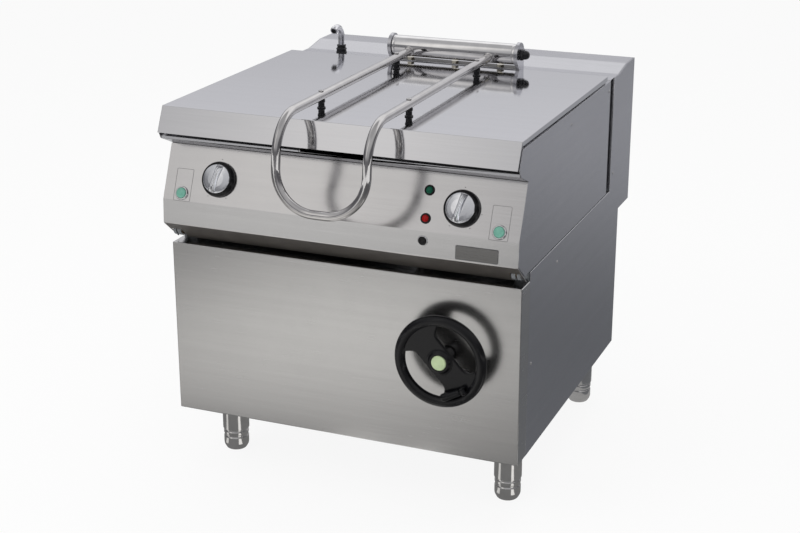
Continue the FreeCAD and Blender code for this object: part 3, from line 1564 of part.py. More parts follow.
def make_hinge():
    line = (
        ("channel_front", "body_top"),
        ("channel_front", "channel_top"),
        ("body_rear - 2", "channel_top"),
        ("body_rear - 2", "body_top"),
    )
    channel = folded("HingeChannel", line, "channel_wall", ("ear_left", "ear_right"))
    ears = []
    bores = []
    for side, low in (("Left", "ear_left"), ("Right", "ear_right - ear_thick")):
        eye = cylinder(f"{side}EarEye", "x", (low, "hinge_axis_back", "hinge_axis_z"), "ear_radius", "ear_thick")
        neck = plate(
            f"{side}EarNeck",
            (
                ("channel_front", "body_top"),
                ("channel_front", "channel_top"),
                ("hinge_axis_back - ear_radius * 0.94", "hinge_axis_z - ear_radius * 0.34"),
                ("hinge_axis_back", "hinge_axis_z"),
                ("body_rear - 2", "hinge_axis_z"),
                ("body_rear - 2", "body_top"),
            ),
            (low, low + " + ear_thick"),
        )
        ears += [eye, neck]
        bores.append(
            cylinder(
                f"{side}EarBore",
                "x",
                (low + " - 1", "hinge_axis_back", "hinge_axis_z"),
                "bar_radius + fit",
                "ear_thick + 2",
            )
        )
    keep(cut("HingeBase", fuse("HingeSolid", channel, *ears), *bores), "hinge_base")
    bolts = []
    for number in range(3):
        x = f"hinge_middle + ({number} - 1) * 112"
        head = doc.addObject("Part::Prism", f"BoltHead{number + 1}")
        head.Polygon = 6
        head.Circumradius = 9
        head.Height = 6
        for letter, text in zip("xyz", (x, "channel_front + 10", "channel_top")):
            bind(head, f"Placement.Base.{letter}", text)
        bolts.append(head)
    keep(group("HingeBolts", *bolts), "hinge_bolts")
    rod = cylinder(
        "TorsionRod",
        "x",
        ("ear_left - 3", "hinge_axis_back", "hinge_axis_z"),
        "bar_radius",
        "ear_right - ear_left + 18",
    )
    head = cylinder(
        "TorsionHead",
        "x",
        ("ear_left - 6", "hinge_axis_back", "hinge_axis_z"),
        "bar_radius + 4",
        "6 - seam",
    )
    keep(fuse("TorsionBar", rod, head), "torsion_bar")
    nut = doc.addObject("Part::Prism", "NutHex")
    nut.Placement = Placement(Vector(), TURNS["x"])
    nut.Polygon = 6
    bind(nut, "Circumradius", "bar_radius * 1.9")
    nut.Height = 12
    for letter, text in zip("xyz", ("ear_right + seam", "hinge_axis_back", "hinge_axis_z")):
        bind(nut, f"Placement.Base.{letter}", text)
    tail = cone(
        "NutTail",
        "x",
        ("ear_right + seam + 12", "hinge_axis_back", "hinge_axis_z"),
        "bar_radius * 1.6",
        "bar_radius * 0.8",
        "12",
    )
    nut_bore = cylinder(
        "NutBore", "x", ("ear_right", "hinge_axis_back", "hinge_axis_z"), "bar_radius + fit", "18"
    )
    keep(cut("TensionNut", fuse("NutSolid", nut, tail), nut_bore), "tension_nut")


def make_hinge_tube():
    axis = ("hinge_axis_back", "hinge_axis_z")
    outside = cylinder("TubeOutside", "x", ("tube_left", *axis), "tube_radius", "tube_length")
    hollow = cylinder(
        "TubeHollow", "x", ("tube_left + ear_thick", *axis), "tube_radius - tube_wall", "tube_length - 2 * ear_thick"
    )
    bore = cylinder("TubeBore", "x", ("tube_left - 1", *axis), "bar_radius + fit", "tube_length + 2")
    keep(cut("HingeTube", outside, hollow, bore), "hinge_tube")


def bent_wire(points, radii):
    """Straight runs joined by tangent arcs; one radius for each inner point."""
    edges = []
    start = points[0]
    for before, corner, after, radius in zip(points, points[1:], points[2:], radii):
        backward = (before - corner).normalize()
        forward = (after - corner).normalize()
        half_turn = (math.pi - backward.getAngle(forward)) / 2
        reach = radius * math.tan(half_turn)
        middle = (backward + forward).normalize()
        crown = corner + middle * (radius / math.cos(half_turn) - radius)
        edges.append(Part.LineSegment(start, corner + backward * reach).toShape())
        edges.append(Part.Arc(corner + backward * reach, crown, corner + forward * reach).toShape())
        start = corner + forward * reach
    edges.append(Part.LineSegment(start, points[-1]).toShape())
    return Part.Wire(edges)


def make_handle():
    """One bent tube: two bars from the hinge tube, knees over the lid's front, a round loop."""
    left = value("handle_middle - handle_half")
    right = value("handle_middle + handle_half")
    back = value("hinge_axis_back")
    high = value("bar_z")
    low = value("hinge_axis_z - handle_drop")
    knee = -value("knee_lead")
    front = -value("handle_lead")
    points = [
        Vector(left, back, high),
        Vector(left, knee, high),
        Vector(left, front, low),
        Vector(right, front, low),
        Vector(right, knee, high),
        Vector(right, back, high),
    ]
    bends = [value("knee_radius"), value("loop_radius"), value("loop_radius"), value("knee_radius")]
    radius = value("grip_bar_radius")
    spine = bent_wire(points, bends)
    circle = Part.Wire(Part.Circle(points[0], Vector(0, 1, 0), radius).toShape())
    tube = spine.makePipeShell([circle], True, True)
    barrel = Part.makeCylinder(
        value("tube_radius"),
        value("tube_length"),
        Vector(value("tube_left"), back, value("hinge_axis_z")),
        Vector(1, 0, 0),
    )
    item = doc.addObject("Part::Feature", "LidHandle")
    item.Shape = tube.cut(barrel)
    keep(item, "lid_handle")
    posts = []
    for number, (sign, y) in enumerate(
        (("-", "front_post"), ("+", "front_post"), ("-", "rear_post"), ("+", "rear_post")), start=1
    ):
        x = f"handle_middle {sign} handle_half"
        stem = cylinder(f"PostStem{number}", "z", (x, y, "lid_top"), "post_radius", "bar_z - lid_top")
        bar = cylinder(
            f"PostBar{number}", "y", (x, y + " - 20", "bar_z"), "grip_bar_radius", "40"
        )
        posts.append(cut(f"Post{number}", stem, bar))
        nut = cylinder(
            f"PostNutBody{number}",
            "z",
            (x, y, "bar_z"),
            "post_radius - 1",
            "grip_bar_radius + 3",
        )
        nut_bar = cylinder(
            f"PostNutBar{number}", "y", (x, y + " - 20", "bar_z"), "grip_bar_radius", "40"
        )
        posts.append(cut(f"PostNut{number}", nut, nut_bar))
    keep(group("HandlePosts", *posts), "handle_posts")


# Services at the rear
def make_services():
    spot = ("-gland_x", "base_rear", "services_z")
    nut = doc.addObject("Part::Prism", "GlandHex")
    nut.Placement = Placement(Vector(), TURNS["y"])
    nut.Polygon = 6
    bind(nut, "Circumradius", "gland_bore + 7")
    nut.Height = 10
    for letter, text in zip("xyz", spot):
        bind(nut, f"Placement.Base.{letter}", text)
    dome = cone(
        "GlandDome",
        "y",
        (spot[0], "base_rear + 10", spot[2]),
        "gland_bore + 5",
        "gland_bore + 2",
        "services_length - 10",
    )
    thread = cylinder(
        "GlandThread", "y", (spot[0], "base_rear - 14", spot[2]), "gland_bore + 4 - fit", "15"
    )
    bore = cylinder(
        "GlandBore", "y", (spot[0], "base_rear - 15", spot[2]), "gland_bore", "services_length + 20"
    )
    keep(cut("CableGland", fuse("GlandSolid", nut, dome, thread), bore), "cable_gland")
    pipe_spot = ("-inlet_x", "base_rear - 20", "services_z")
    pipe = cylinder("InletPipe", "y", pipe_spot, "inlet_radius", "services_length + 20")
    lock = doc.addObject("Part::Prism", "InletNut")
    lock.Placement = Placement(Vector(), TURNS["y"])
    lock.Polygon = 6
    bind(lock, "Circumradius", "inlet_radius + 6")
    lock.Height = 7
    for letter, text in zip("xyz", ("-inlet_x", "base_rear", "services_z")):
        bind(lock, f"Placement.Base.{letter}", text)
    pipe_bore = cylinder(
        "InletBore",
        "y",
        ("-inlet_x", "base_rear - 21", "services_z"),
        "inlet_radius - 2.5",
        "services_length + 22",
    )
    keep(cut("WaterInlet", fuse("InletSolid", pipe, lock), pipe_bore), "water_inlet")


make_bottom_plate()
make_base_frame()
make_front_panel()
make_side_panel("left_side_panel", "-half", "-inner")
make_side_panel("right_side_panel", "inner", "half")
make_rear_panel()
make_legs()
make_column()
make_tap()
make_pivots()
make_tilt_frame()
make_buffers()
make_sector()
make_pinion()
make_reducer()
make_wheel_bearing()
make_handwheel()
make_wheel_fittings()
make_crank_grip()
make_pan()
make_elements()
make_heater_tray()
make_cheek("left_cheek", "-half", "-inner")
make_cheek("right_cheek", "inner", "half")
make_deck()
make_control_panel()
make_buttons()
make_pilots()
make_knobs()
make_lid()
make_hinge()
make_hinge_tube()
make_handle()
make_services()
doc.recompute()

# Every feature has to be sound before anything is written
for item in doc.Objects:
    if "Invalid" in item.State or "Error" in item.State:
        raise RuntimeError(f"{item.Label} failed: {item.State}")
for node, item in finished.items():
    if item.Shape.isNull() or not item.Shape.isValid():
        raise RuntimeError(f"{node} has no sound shape")

os.makedirs("parts", exist_ok=True)
for node, item in finished.items():
    item.Shape.exportStep(os.path.join("parts", node + ".step"))
print(len(finished), "nodes written")
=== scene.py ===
import bpy
import bmesh
import json
import math

from mathutils import Matrix, Vector

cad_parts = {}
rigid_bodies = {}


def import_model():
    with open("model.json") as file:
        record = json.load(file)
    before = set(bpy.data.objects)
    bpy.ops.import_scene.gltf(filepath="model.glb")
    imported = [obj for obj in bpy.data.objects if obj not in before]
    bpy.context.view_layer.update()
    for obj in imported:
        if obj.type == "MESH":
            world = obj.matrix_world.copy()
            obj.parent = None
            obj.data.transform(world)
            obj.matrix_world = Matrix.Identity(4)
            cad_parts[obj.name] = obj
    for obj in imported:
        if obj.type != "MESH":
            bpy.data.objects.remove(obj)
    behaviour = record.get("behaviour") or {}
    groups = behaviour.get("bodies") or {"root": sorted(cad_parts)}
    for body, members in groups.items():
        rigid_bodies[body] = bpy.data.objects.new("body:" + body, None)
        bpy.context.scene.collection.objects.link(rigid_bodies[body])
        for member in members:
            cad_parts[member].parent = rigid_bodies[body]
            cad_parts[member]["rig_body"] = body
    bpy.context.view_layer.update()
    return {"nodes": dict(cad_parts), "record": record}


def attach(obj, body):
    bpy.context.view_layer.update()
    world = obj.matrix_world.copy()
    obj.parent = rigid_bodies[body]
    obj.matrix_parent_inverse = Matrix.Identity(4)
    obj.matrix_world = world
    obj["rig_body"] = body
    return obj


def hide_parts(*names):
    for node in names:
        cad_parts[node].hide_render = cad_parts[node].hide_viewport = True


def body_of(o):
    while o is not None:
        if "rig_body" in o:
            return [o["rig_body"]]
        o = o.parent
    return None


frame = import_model()
nodes = frame["nodes"]
scene = bpy.context.scene
# Millimetres in metres, and the depth of the door's face in millimetres
MM = 0.001
DOOR_FACE = -348.25

# Camera at the photograph's angle
CAMERA_SPOT = (1.288, -3.1752, 1.6323)
CAMERA_DIP = 19.42
CAMERA_TURN = 22.176
CAMERA_LENS = 70.84
camera_data = bpy.data.cameras.new("PhotoCamera")
camera_data.sensor_width = 36
camera_data.sensor_fit = "HORIZONTAL"
camera_data.lens = CAMERA_LENS
camera_data.clip_start = 0.05
camera_data.clip_end = 60
camera = bpy.data.objects.new("PhotoCamera", camera_data)
camera.location = CAMERA_SPOT
camera.rotation_euler = (math.radians(90 - CAMERA_DIP), 0, math.radians(CAMERA_TURN))
scene.collection.objects.link(camera)
scene.camera = camera
scene.view_settings.view_transform = "Standard"


# Node helpers
def add_node(tree, kind, **settings):
    node = tree.nodes.new(kind)
    for key, value in settings.items():
        if key in node.bl_rna.properties:
            setattr(node, key, value)
        else:
            node.inputs[key.replace("_", " ")].default_value = value
    return node


def wire(tree, *links):
    for source, target in links:
        tree.links.new(source, target)


def math_node(tree, operation, first, second=None, clamp=False):
    node = tree.nodes.new("ShaderNodeMath")
    node.operation = operation
    node.use_clamp = clamp
    for index, item in enumerate((first, second)):
        if item is None:
            continue
        if isinstance(item, (int, float)):
            node.inputs[index].default_value = item
        else:
            tree.links.new(item, node.inputs[index])
    return node.outputs[0]


def new_group(name, inputs, outputs):
    group = bpy.data.node_groups.new(name, "ShaderNodeTree")
    for label, kind, value in inputs:
        socket = group.interface.new_socket(label, in_out="INPUT", socket_type="NodeSocket" + kind)
        if value is not None:
            socket.default_value = value
    for label, kind in outputs:
        group.interface.new_socket(label, in_out="OUTPUT", socket_type="NodeSocket" + kind)
    return group, group.nodes.new("NodeGroupInput"), group.nodes.new("NodeGroupOutput")


def span(tree, source, low, high, to_low=0.0, to_high=1.0):
    node = tree.nodes.new("ShaderNodeMapRange")
    node.inputs["From Min"].default_value = low
    node.inputs["From Max"].default_value = high
    node.inputs["To Min"].default_value = to_low
    node.inputs["To Max"].default_value = to_high
    tree.links.new(source, node.inputs["Value"])
    return node.outputs["Result"]


# Effects shared by the materials
def make_brushing():
    """Fine parallel lines: Stretch is lines per metre along each axis."""
    group, given, result = new_group(
        "Brushing",
        (("Vector", "Vector", None), ("Stretch", "Vector", (8, 8, 700))),
        (("Lines", "Float"), ("Bands", "Float")),
    )
    for label, share, detail in (("Lines", 1.0, 2.0), ("Bands", 0.09, 1.5)):
        scale = add_node(group, "ShaderNodeVectorMath", operation="MULTIPLY")
        thin = add_node(group, "ShaderNodeVectorMath", operation="SCALE")
        thin.inputs["Scale"].default_value = share
        noise = add_node(group, "ShaderNodeTexNoise", Scale=1.0, Detail=detail, Roughness=0.6)
        wire(
            group,
            (given.outputs["Vector"], scale.inputs[0]),
            (given.outputs["Stretch"], scale.inputs[1]),
            (scale.outputs[0], thin.inputs[0]),
            (thin.outputs[0], noise.inputs["Vector"]),
            (span(group, noise.outputs["Fac"], 0.3, 0.7), result.inputs[label]),
        )
    return group


def make_clouds():
    """Slow, soft differences over a surface."""
    group, given, result = new_group(
        "Clouds",
        (
            ("Vector", "Vector", None),
            ("Scale", "Float", 5.0),
            ("Low", "Float", 0.35),
            ("High", "Float", 0.65),
        ),
        (("Mask", "Float"),),
    )
    noise = add_node(group, "ShaderNodeTexNoise", Detail=3.0, Roughness=0.55)
    reach = group.nodes.new("ShaderNodeMapRange")
    wire(
        group,
        (given.outputs["Vector"], noise.inputs["Vector"]),
        (given.outputs["Scale"], noise.inputs["Scale"]),
        (given.outputs["Low"], reach.inputs["From Min"]),
        (given.outputs["High"], reach.inputs["From Max"]),
        (noise.outputs["Fac"], reach.inputs["Value"]),
        (reach.outputs["Result"], result.inputs["Mask"]),
    )
    return group


def make_pebble():
    """Fine even relief of a moulded or cast skin."""
    group, given, result = new_group(
        "Pebble",
        (("Vector", "Vector", None), ("Scale", "Float", 900.0)),
        (("Relief", "Float"),),
    )
    cells = add_node(group, "ShaderNodeTexVoronoi", feature="SMOOTH_F1")
    grit = add_node(group, "ShaderNodeTexNoise", Detail=2.0)
    wire(
        group,
        (given.outputs["Vector"], cells.inputs["Vector"]),
        (given.outputs["Scale"], cells.inputs["Scale"]),
        (given.outputs["Vector"], grit.inputs["Vector"]),
        (given.outputs["Scale"], grit.inputs["Scale"]),
        (math_node(group, "ADD", cells.outputs["Distance"], grit.outputs["Fac"]), result.inputs["Relief"]),
    )
    return group


def make_edge_rub():
    """Brighter rubbed edges, broken up by noise."""
    group, given, result = new_group(
        "EdgeRub",
        (("Vector", "Vector", None), ("Scale", "Float", 60.0)),
        (("Mask", "Float"),),
    )
    shape = group.nodes.new("ShaderNodeNewGeometry")
    noise = add_node(group, "ShaderNodeTexNoise", Detail=4.0)
    edge = span(group, shape.outputs["Pointiness"], 0.53, 0.6)
    wire(
        group,
        (given.outputs["Vector"], noise.inputs["Vector"]),
        (given.outputs["Scale"], noise.inputs["Scale"]),
        (
            math_node(group, "MULTIPLY", edge, span(group, noise.outputs["Fac"], 0.4, 0.6), clamp=True),
            result.inputs["Mask"],
        ),
    )
    return group


brushing = make_brushing()
clouds = make_clouds()
pebble = make_pebble()
edge_rub = make_edge_rub()


def effect(tree, group, vector, **values):
    node = tree.nodes.new("ShaderNodeGroup")
    node.node_tree = group
    tree.links.new(vector, node.inputs["Vector"])
    for key, value in values.items():
        node.inputs[key].default_value = value
    return node


def blend_colour(tree, factor, dark, light):
    node = tree.nodes.new("ShaderNodeMix")
    node.data_type = "RGBA"
    for socket, value in ((node.inputs[6], dark), (node.inputs[7], light)):
        if isinstance(value, tuple):
            socket.default_value = (*value, 1.0)
        else:
            tree.links.new(value, socket)
    tree.links.new(factor, node.inputs[0])
    return node.outputs[2]


def start_material(name):
    material = bpy.data.materials.new(name)
    material.use_nodes = True
    tree = material.node_tree
    shader = tree.nodes["Principled BSDF"]
    place = tree.nodes.new("ShaderNodeTexCoord").outputs["Object"]
    return material, tree, shader, place


def add_bump(tree, shader, height, strength, distance):
    bump = tree.nodes.new("ShaderNodeBump")
    bump.inputs["Strength"].default_value = strength
    bump.inputs["Distance"].default_value = distance
    wire(tree, (height, bump.inputs["Height"]), (bump.outputs["Normal"], shader.inputs["Normal"]))


def brushed_steel(name, colour, rough, lines, grain_axis="Z", gloss_spread=0.5, depth=0.03, contrast=0.06):
    """Sheet steel with a brushed grain; lines is the grain's density along each axis."""
    material, tree, shader, place = start_material(name)
    grain = effect(tree, brushing, place, Stretch=lines)
    cloud = effect(tree, clouds, place, Scale=3.5)
    smudge = effect(tree, clouds, place, Scale=23.0, Low=0.4, High=0.95)
    mixed = math_node(tree, "MULTIPLY", grain.outputs["Lines"], 0.5)
    mixed = math_node(tree, "ADD", mixed, math_node(tree, "MULTIPLY", grain.outputs["Bands"], 0.3))
    mixed = math_node(tree, "ADD", mixed, math_node(tree, "MULTIPLY", cloud.outputs["Mask"], 0.2))
    dark = tuple(part * (1 - contrast) for part in colour)
    light = tuple(min(part * (1 + contrast), 1.0) for part in colour)
    wire(tree, (blend_colour(tree, mixed, dark, light), shader.inputs["Base Color"]))
    matt = math_node(tree, "MULTIPLY", grain.outputs["Lines"], rough * 0.18)
    matt = math_node(tree, "ADD", matt, math_node(tree, "MULTIPLY", smudge.outputs["Mask"], rough * 0.12))
    wire(tree, (math_node(tree, "ADD", matt, rough * 0.88), shader.inputs["Roughness"]))
    shader.inputs["Metallic"].default_value = 1.0
    shader.inputs["Anisotropic"].default_value = gloss_spread
    tangent = tree.nodes.new("ShaderNodeTangent")
    tangent.direction_type = "RADIAL"
    tangent.axis = grain_axis
    wire(tree, (tangent.outputs[0], shader.inputs["Tangent"]))
    add_bump(tree, shader, grain.outputs["Lines"], depth, 0.0002)
    return material


def smooth_metal(name, colour, rough, scale=40.0, contrast=0.05, depth=0.02):
    """Polished, turned or plated metal with faint polishing marks."""
    material, tree, shader, place = start_material(name)
    cloud = effect(tree, clouds, place, Scale=scale)
    fine = effect(tree, clouds, place, Scale=scale * 14, Low=0.3, High=0.7)
    rub = effect(tree, edge_rub, place, Scale=scale * 3)
    dark = tuple(part * (1 - contrast) for part in colour)
    light = tuple(min(part * (1 + contrast), 1.0) for part in colour)
    worn = tuple(min(part * 1.25, 1.0) for part in colour)
    tint = blend_colour(tree, cloud.outputs["Mask"], dark, light)
    faint = math_node(tree, "MULTIPLY", rub.outputs["Mask"], 0.3)
    wire(tree, (blend_colour(tree, faint, tint, worn), shader.inputs["Base Color"]))
    matt = math_node(tree, "MULTIPLY", fine.outputs["Mask"], rough * 0.3)
    wire(tree, (math_node(tree, "ADD", matt, rough * 0.85), shader.inputs["Roughness"]))
    shader.inputs["Metallic"].default_value = 1.0
    add_bump(tree, shader, fine.outputs["Mask"], depth, 0.0001)
    return material


def moulded(name, colour, rough, coat=0.0, grain=900.0, depth=0.05, spread=0.12, shine=0.5):
    """Plastic, paint or rubber with a fine skin and slow tone changes."""
    material, tree, shader, place = start_material(name)
    cloud = effect(tree, clouds, place, Scale=30.0)
    skin = effect(tree, pebble, place, Scale=grain)
    rub = effect(tree, edge_rub, place, Scale=90.0)
    dark = tuple(part * (1 - spread) for part in colour)
    light = tuple(min(part * (1 + spread), 1.0) for part in colour)
    worn = tuple(min(part * 1.5 + 0.02, 1.0) for part in colour)
    tint = blend_colour(tree, cloud.outputs["Mask"], dark, light)
    faint = math_node(tree, "MULTIPLY", rub.outputs["Mask"], 0.5)
    wire(tree, (blend_colour(tree, faint, tint, worn), shader.inputs["Base Color"]))
    matt = math_node(tree, "MULTIPLY", cloud.outputs["Mask"], rough * 0.25)
    wire(tree, (math_node(tree, "ADD", matt, rough * 0.88), shader.inputs["Roughness"]))
    shader.inputs["Specular IOR Level"].default_value = shine
    shader.inputs["Coat Weight"].default_value = coat
    shader.inputs["Coat Roughness"].default_value = 0.08
    add_bump(tree, shader, skin.outputs["Relief"], depth, 0.0001)
    return material


def lens_plastic(name, colour):
    """Coloured lens with a ribbed inside and a clear gloss over it."""
    material, tree, shader, place = start_material(name)
    ribs = effect(tree, brushing, place, Stretch=(620, 40, 40))
    cloud = effect(tree, clouds, place, Scale=120.0)
    dark = tuple(part * 0.55 for part in colour)
    mixed = math_node(tree, "MULTIPLY", ribs.outputs["Lines"], cloud.outputs["Mask"])
    wire(tree, (blend_colour(tree, mixed, dark, colour), shader.inputs["Base Color"]))
    wire(tree, (span(tree, cloud.outputs["Mask"], 0, 1, 0.16, 0.26), shader.inputs["Roughness"]))
    shader.inputs["Specular IOR Level"].default_value = 0.25
    shader.inputs["Coat Weight"].default_value = 0.15
    shader.inputs["Coat Roughness"].default_value = 0.05
    return material


SHEET = (6, 6, 650)
finishes = {
    "body_steel": brushed_steel("BodySteel", (0.62, 0.62, 0.65), 0.24, SHEET, gloss_spread=0.4),
    "door_steel": brushed_steel("DoorSteel", (0.62, 0.615, 0.61), 0.25, SHEET, gloss_spread=0.4),
    "panel_steel": brushed_steel("PanelSteel", (0.70, 0.69, 0.69), 0.17, SHEET, gloss_spread=0.35),
    "lid_steel": brushed_steel(
        "LidSteel", (0.69, 0.69, 0.71), 0.075, (6, 650, 30), "Y",
        gloss_spread=0.2, depth=0.012, contrast=0.035,
    ),
    "pan_steel": brushed_steel("PanSteel", (0.60, 0.60, 0.61), 0.30, (300, 6, 300), "X"),
    "frame_steel": moulded("FramePaint", (0.18, 0.19, 0.20), 0.5, grain=500.0),
    "polished_steel": smooth_metal("PolishedSteel", (0.66, 0.645, 0.64), 0.08),
    "leg_steel": smooth_metal("LegSteel", (0.74, 0.73, 0.72), 0.12),
    "black_plastic": moulded("BlackPlastic", (0.004, 0.004, 0.005), 0.24, coat=0.12, depth=0.02, shine=0.3),
    "cap_plastic": moulded("CapPlastic", (0.50, 0.62, 0.36), 0.3, coat=0.3),
    "knob_silver": smooth_metal(
        "KnobSilver", (0.92, 0.93, 0.96), 0.18, scale=120.0, contrast=0.02, depth=0.008
    ),
    "green_plastic": moulded("GreenPlastic", (0.15, 0.40, 0.31), 0.26, coat=0.5),
    "green_lens": lens_plastic("GreenLens", (0.001, 0.13, 0.07)),
    "red_lens": lens_plastic("RedLens", (0.42, 0.001, 0.002)),
    "chrome_bezel": smooth_metal("BezelChrome", (0.80, 0.80, 0.81), 0.14, scale=120.0),
    "tap_chrome": smooth_metal("TapChrome", (0.80, 0.80, 0.83), 0.06, scale=90.0),
    "dark_metal": moulded("DarkMetal", (0.010, 0.010, 0.012), 0.3, coat=0.1, depth=0.02, shine=0.35),
    "gear_steel": smooth_metal("GearSteel", (0.48, 0.47, 0.46), 0.3, scale=60.0, contrast=0.12),
    "cast_housing": moulded("CastHousing", (0.16, 0.19, 0.22), 0.55, grain=350.0, depth=0.3),
    "bronze": smooth_metal("Bronze", (0.62, 0.42, 0.2), 0.3),
    "rubber": moulded("Rubber", (0.02, 0.02, 0.02), 0.75, grain=1200.0, depth=0.15),
    "heater_metal": smooth_metal("HeaterSheath", (0.2, 0.18, 0.16), 0.45, contrast=0.25),
    "inlet_brass": smooth_metal("InletBrass", (0.72, 0.55, 0.28), 0.25),
}
plate_metal = brushed_steel("PlateMetal", (0.26, 0.255, 0.25), 0.3, (9, 9, 900), contrast=0.12)
# Painted shade: a near-black colour for faces that lie in shade
painted_shade_steel = moulded("PaintedShadeSteel", (0.085, 0.077, 0.070), 0.4, grain=500.0, depth=0.02, shine=0.3)
dark_line = moulded("DarkLine", (0.10, 0.10, 0.10), 0.5, grain=600.0)
bolt_steel = smooth_metal("BoltSteel", (0.82, 0.77, 0.64), 0.14)
tube_steel = smooth_metal("TubeSteel", (0.86, 0.85, 0.85), 0.06)
slot_of = {}
for subpart in frame["record"]["subparts"]:
    slot_of[subpart["node"]] = subpart["material_slot"]
    node_mesh = nodes[subpart["node"]].data
    node_mesh.materials.clear()
    node_mesh.materials.append(finishes[subpart["material_slot"]])


# Stage: pale floor, soft light and cards that only reflections see
def new_object(name, mesh, material=None):
    piece = bpy.data.objects.new(name, mesh)
    scene.collection.objects.link(piece)
    if material is not None:
        mesh.materials.append(material)
    return piece


def flat_mesh(name, corners):
    mesh = bpy.data.meshes.new(name)
    mesh.from_pydata(corners, [], [tuple(range(len(corners)))])
    return mesh


def floor_material():
    material = bpy.data.materials.new("PaleFloor")
    material.use_nodes = True
    tree = material.node_tree
    tree.nodes.clear()
    out = tree.nodes.new("ShaderNodeOutputMaterial")
    rays = tree.nodes.new("ShaderNodeLightPath")
    matt = add_node(tree, "ShaderNodeBsdfDiffuse")
    matt.inputs["Color"].default_value = (0.8, 0.8, 0.8, 1)
    white = add_node(tree, "ShaderNodeEmission")
    white.inputs["Strength"].default_value = 1.0
    seen = math_node(tree, "ADD", rays.outputs["Is Camera Ray"], rays.outputs["Is Glossy Ray"])
    seen = math_node(tree, "ADD", seen, rays.outputs["Is Transmission Ray"], clamp=True)
    share = math_node(tree, "MULTIPLY", seen, 0.9)
    mix = tree.nodes.new("ShaderNodeMixShader")
    wire(
        tree,
        (share, mix.inputs[0]),
        (matt.outputs[0], mix.inputs[1]),
        (white.outputs[0], mix.inputs[2]),
        (mix.outputs[0], out.inputs["Surface"]),
    )
    return material


FLOOR_REACH = 14
CARD_HEIGHT = 0.002


def card_box(x_low, y_low, x_high, y_high, z=CARD_HEIGHT):
    return [(x_low, y_low, z), (x_high, y_low, z), (x_high, y_high, z), (x_low, y_high, z)]


floor_corners = card_box(-FLOOR_REACH, -FLOOR_REACH, FLOOR_REACH, FLOOR_REACH, 0)
floor = new_object("Floor", flat_mesh("Floor", floor_corners), floor_material())


def floor_card(name, corners, grey, *spots):
    """A studio card on the floor that only reflections see, with soft brighter spots."""
    material = bpy.data.materials.new(name)
    material.use_nodes = True
    tree = material.node_tree
    tree.nodes.clear()
    out = tree.nodes.new("ShaderNodeOutputMaterial")
    tone = tree.nodes.new("ShaderNodeEmission")
    tone.inputs["Color"].default_value = (*grey, 1)
    place = tree.nodes.new("ShaderNodeTexCoord").outputs["Object"]
    shade = grey
    for centre, near, far, light in spots:
        away = add_node(tree, "ShaderNodeVectorMath", operation="DISTANCE")
        away.inputs[1].default_value = (*centre, CARD_HEIGHT)
        glow = tree.nodes.new("ShaderNodeMapRange")
        glow.interpolation_type = "SMOOTHSTEP"
        glow.inputs["From Min"].default_value = near
        glow.inputs["From Max"].default_value = far
        wire(tree, (place, away.inputs[0]), (away.outputs["Value"], glow.inputs["Value"]))
        shade = blend_colour(tree, glow.outputs["Result"], light, shade)
        tree.links.new(shade, tone.inputs["Color"])
    wire(tree, (tone.outputs[0], out.inputs["Surface"]))
    piece = new_object(name, flat_mesh(name, corners), material)
    piece.visible_camera = False
    piece.visible_diffuse = False
    piece.visible_shadow = False
    piece.visible_transmission = False


floor_card(
    "FloorCardFront", card_box(-6, -6, 3, -0.36), (0.12, 0.12, 0.125),
    ((-1.4, -3.6), 0.4, 2.4, (0.70, 0.70, 0.69)),
    ((-0.3, -1.2), 0.6, 1.5, (0.34, 0.335, 0.33)),
    ((-0.42, -1.3), 0.1, 1.0, (0.84, 0.83, 0.81)),
)
floor_card(
    "FloorCardRight", card_box(0.41, -0.36, 6, 6), (0.15, 0.155, 0.165),
    ((1.6, 3.4), 0.6, 3.0, (0.34, 0.345, 0.365)),
)
floor_card(
    "FloorCardRear", card_box(-6, -0.36, 0.41, 6), (0.22, 0.22, 0.22),
    ((-1.4, 1.0), 0.7, 2.6, (0.60, 0.60, 0.60)),
)
floor_card("FloorCardToe", card_box(-0.9, -0.6, 1.1, -0.05, 0.003), (0.19, 0.19, 0.19))
for number, (x, turn, light) in enumerate(
    ((-0.335, -36, 0.95), (0.335, -36, 0.95), (-0.335, -140, 0.72), (0.335, -140, 0.72))
):
    aim = math.radians(turn)
    ahead = Vector((math.cos(aim), math.sin(aim)))
    side = Vector((-ahead.y, ahead.x))
    start = Vector((x, -0.21))
    strip = [
        start + ahead * reach + side * wide
        for reach, wide in ((0.05, -0.012), (0.6, -0.08), (0.6, 0.08), (0.05, 0.012))
    ]
    floor_card(
        f"FloorGlow{number + 1}", [(*corner, 0.004) for corner in strip], (light, light * 0.99, light * 0.97)
    )


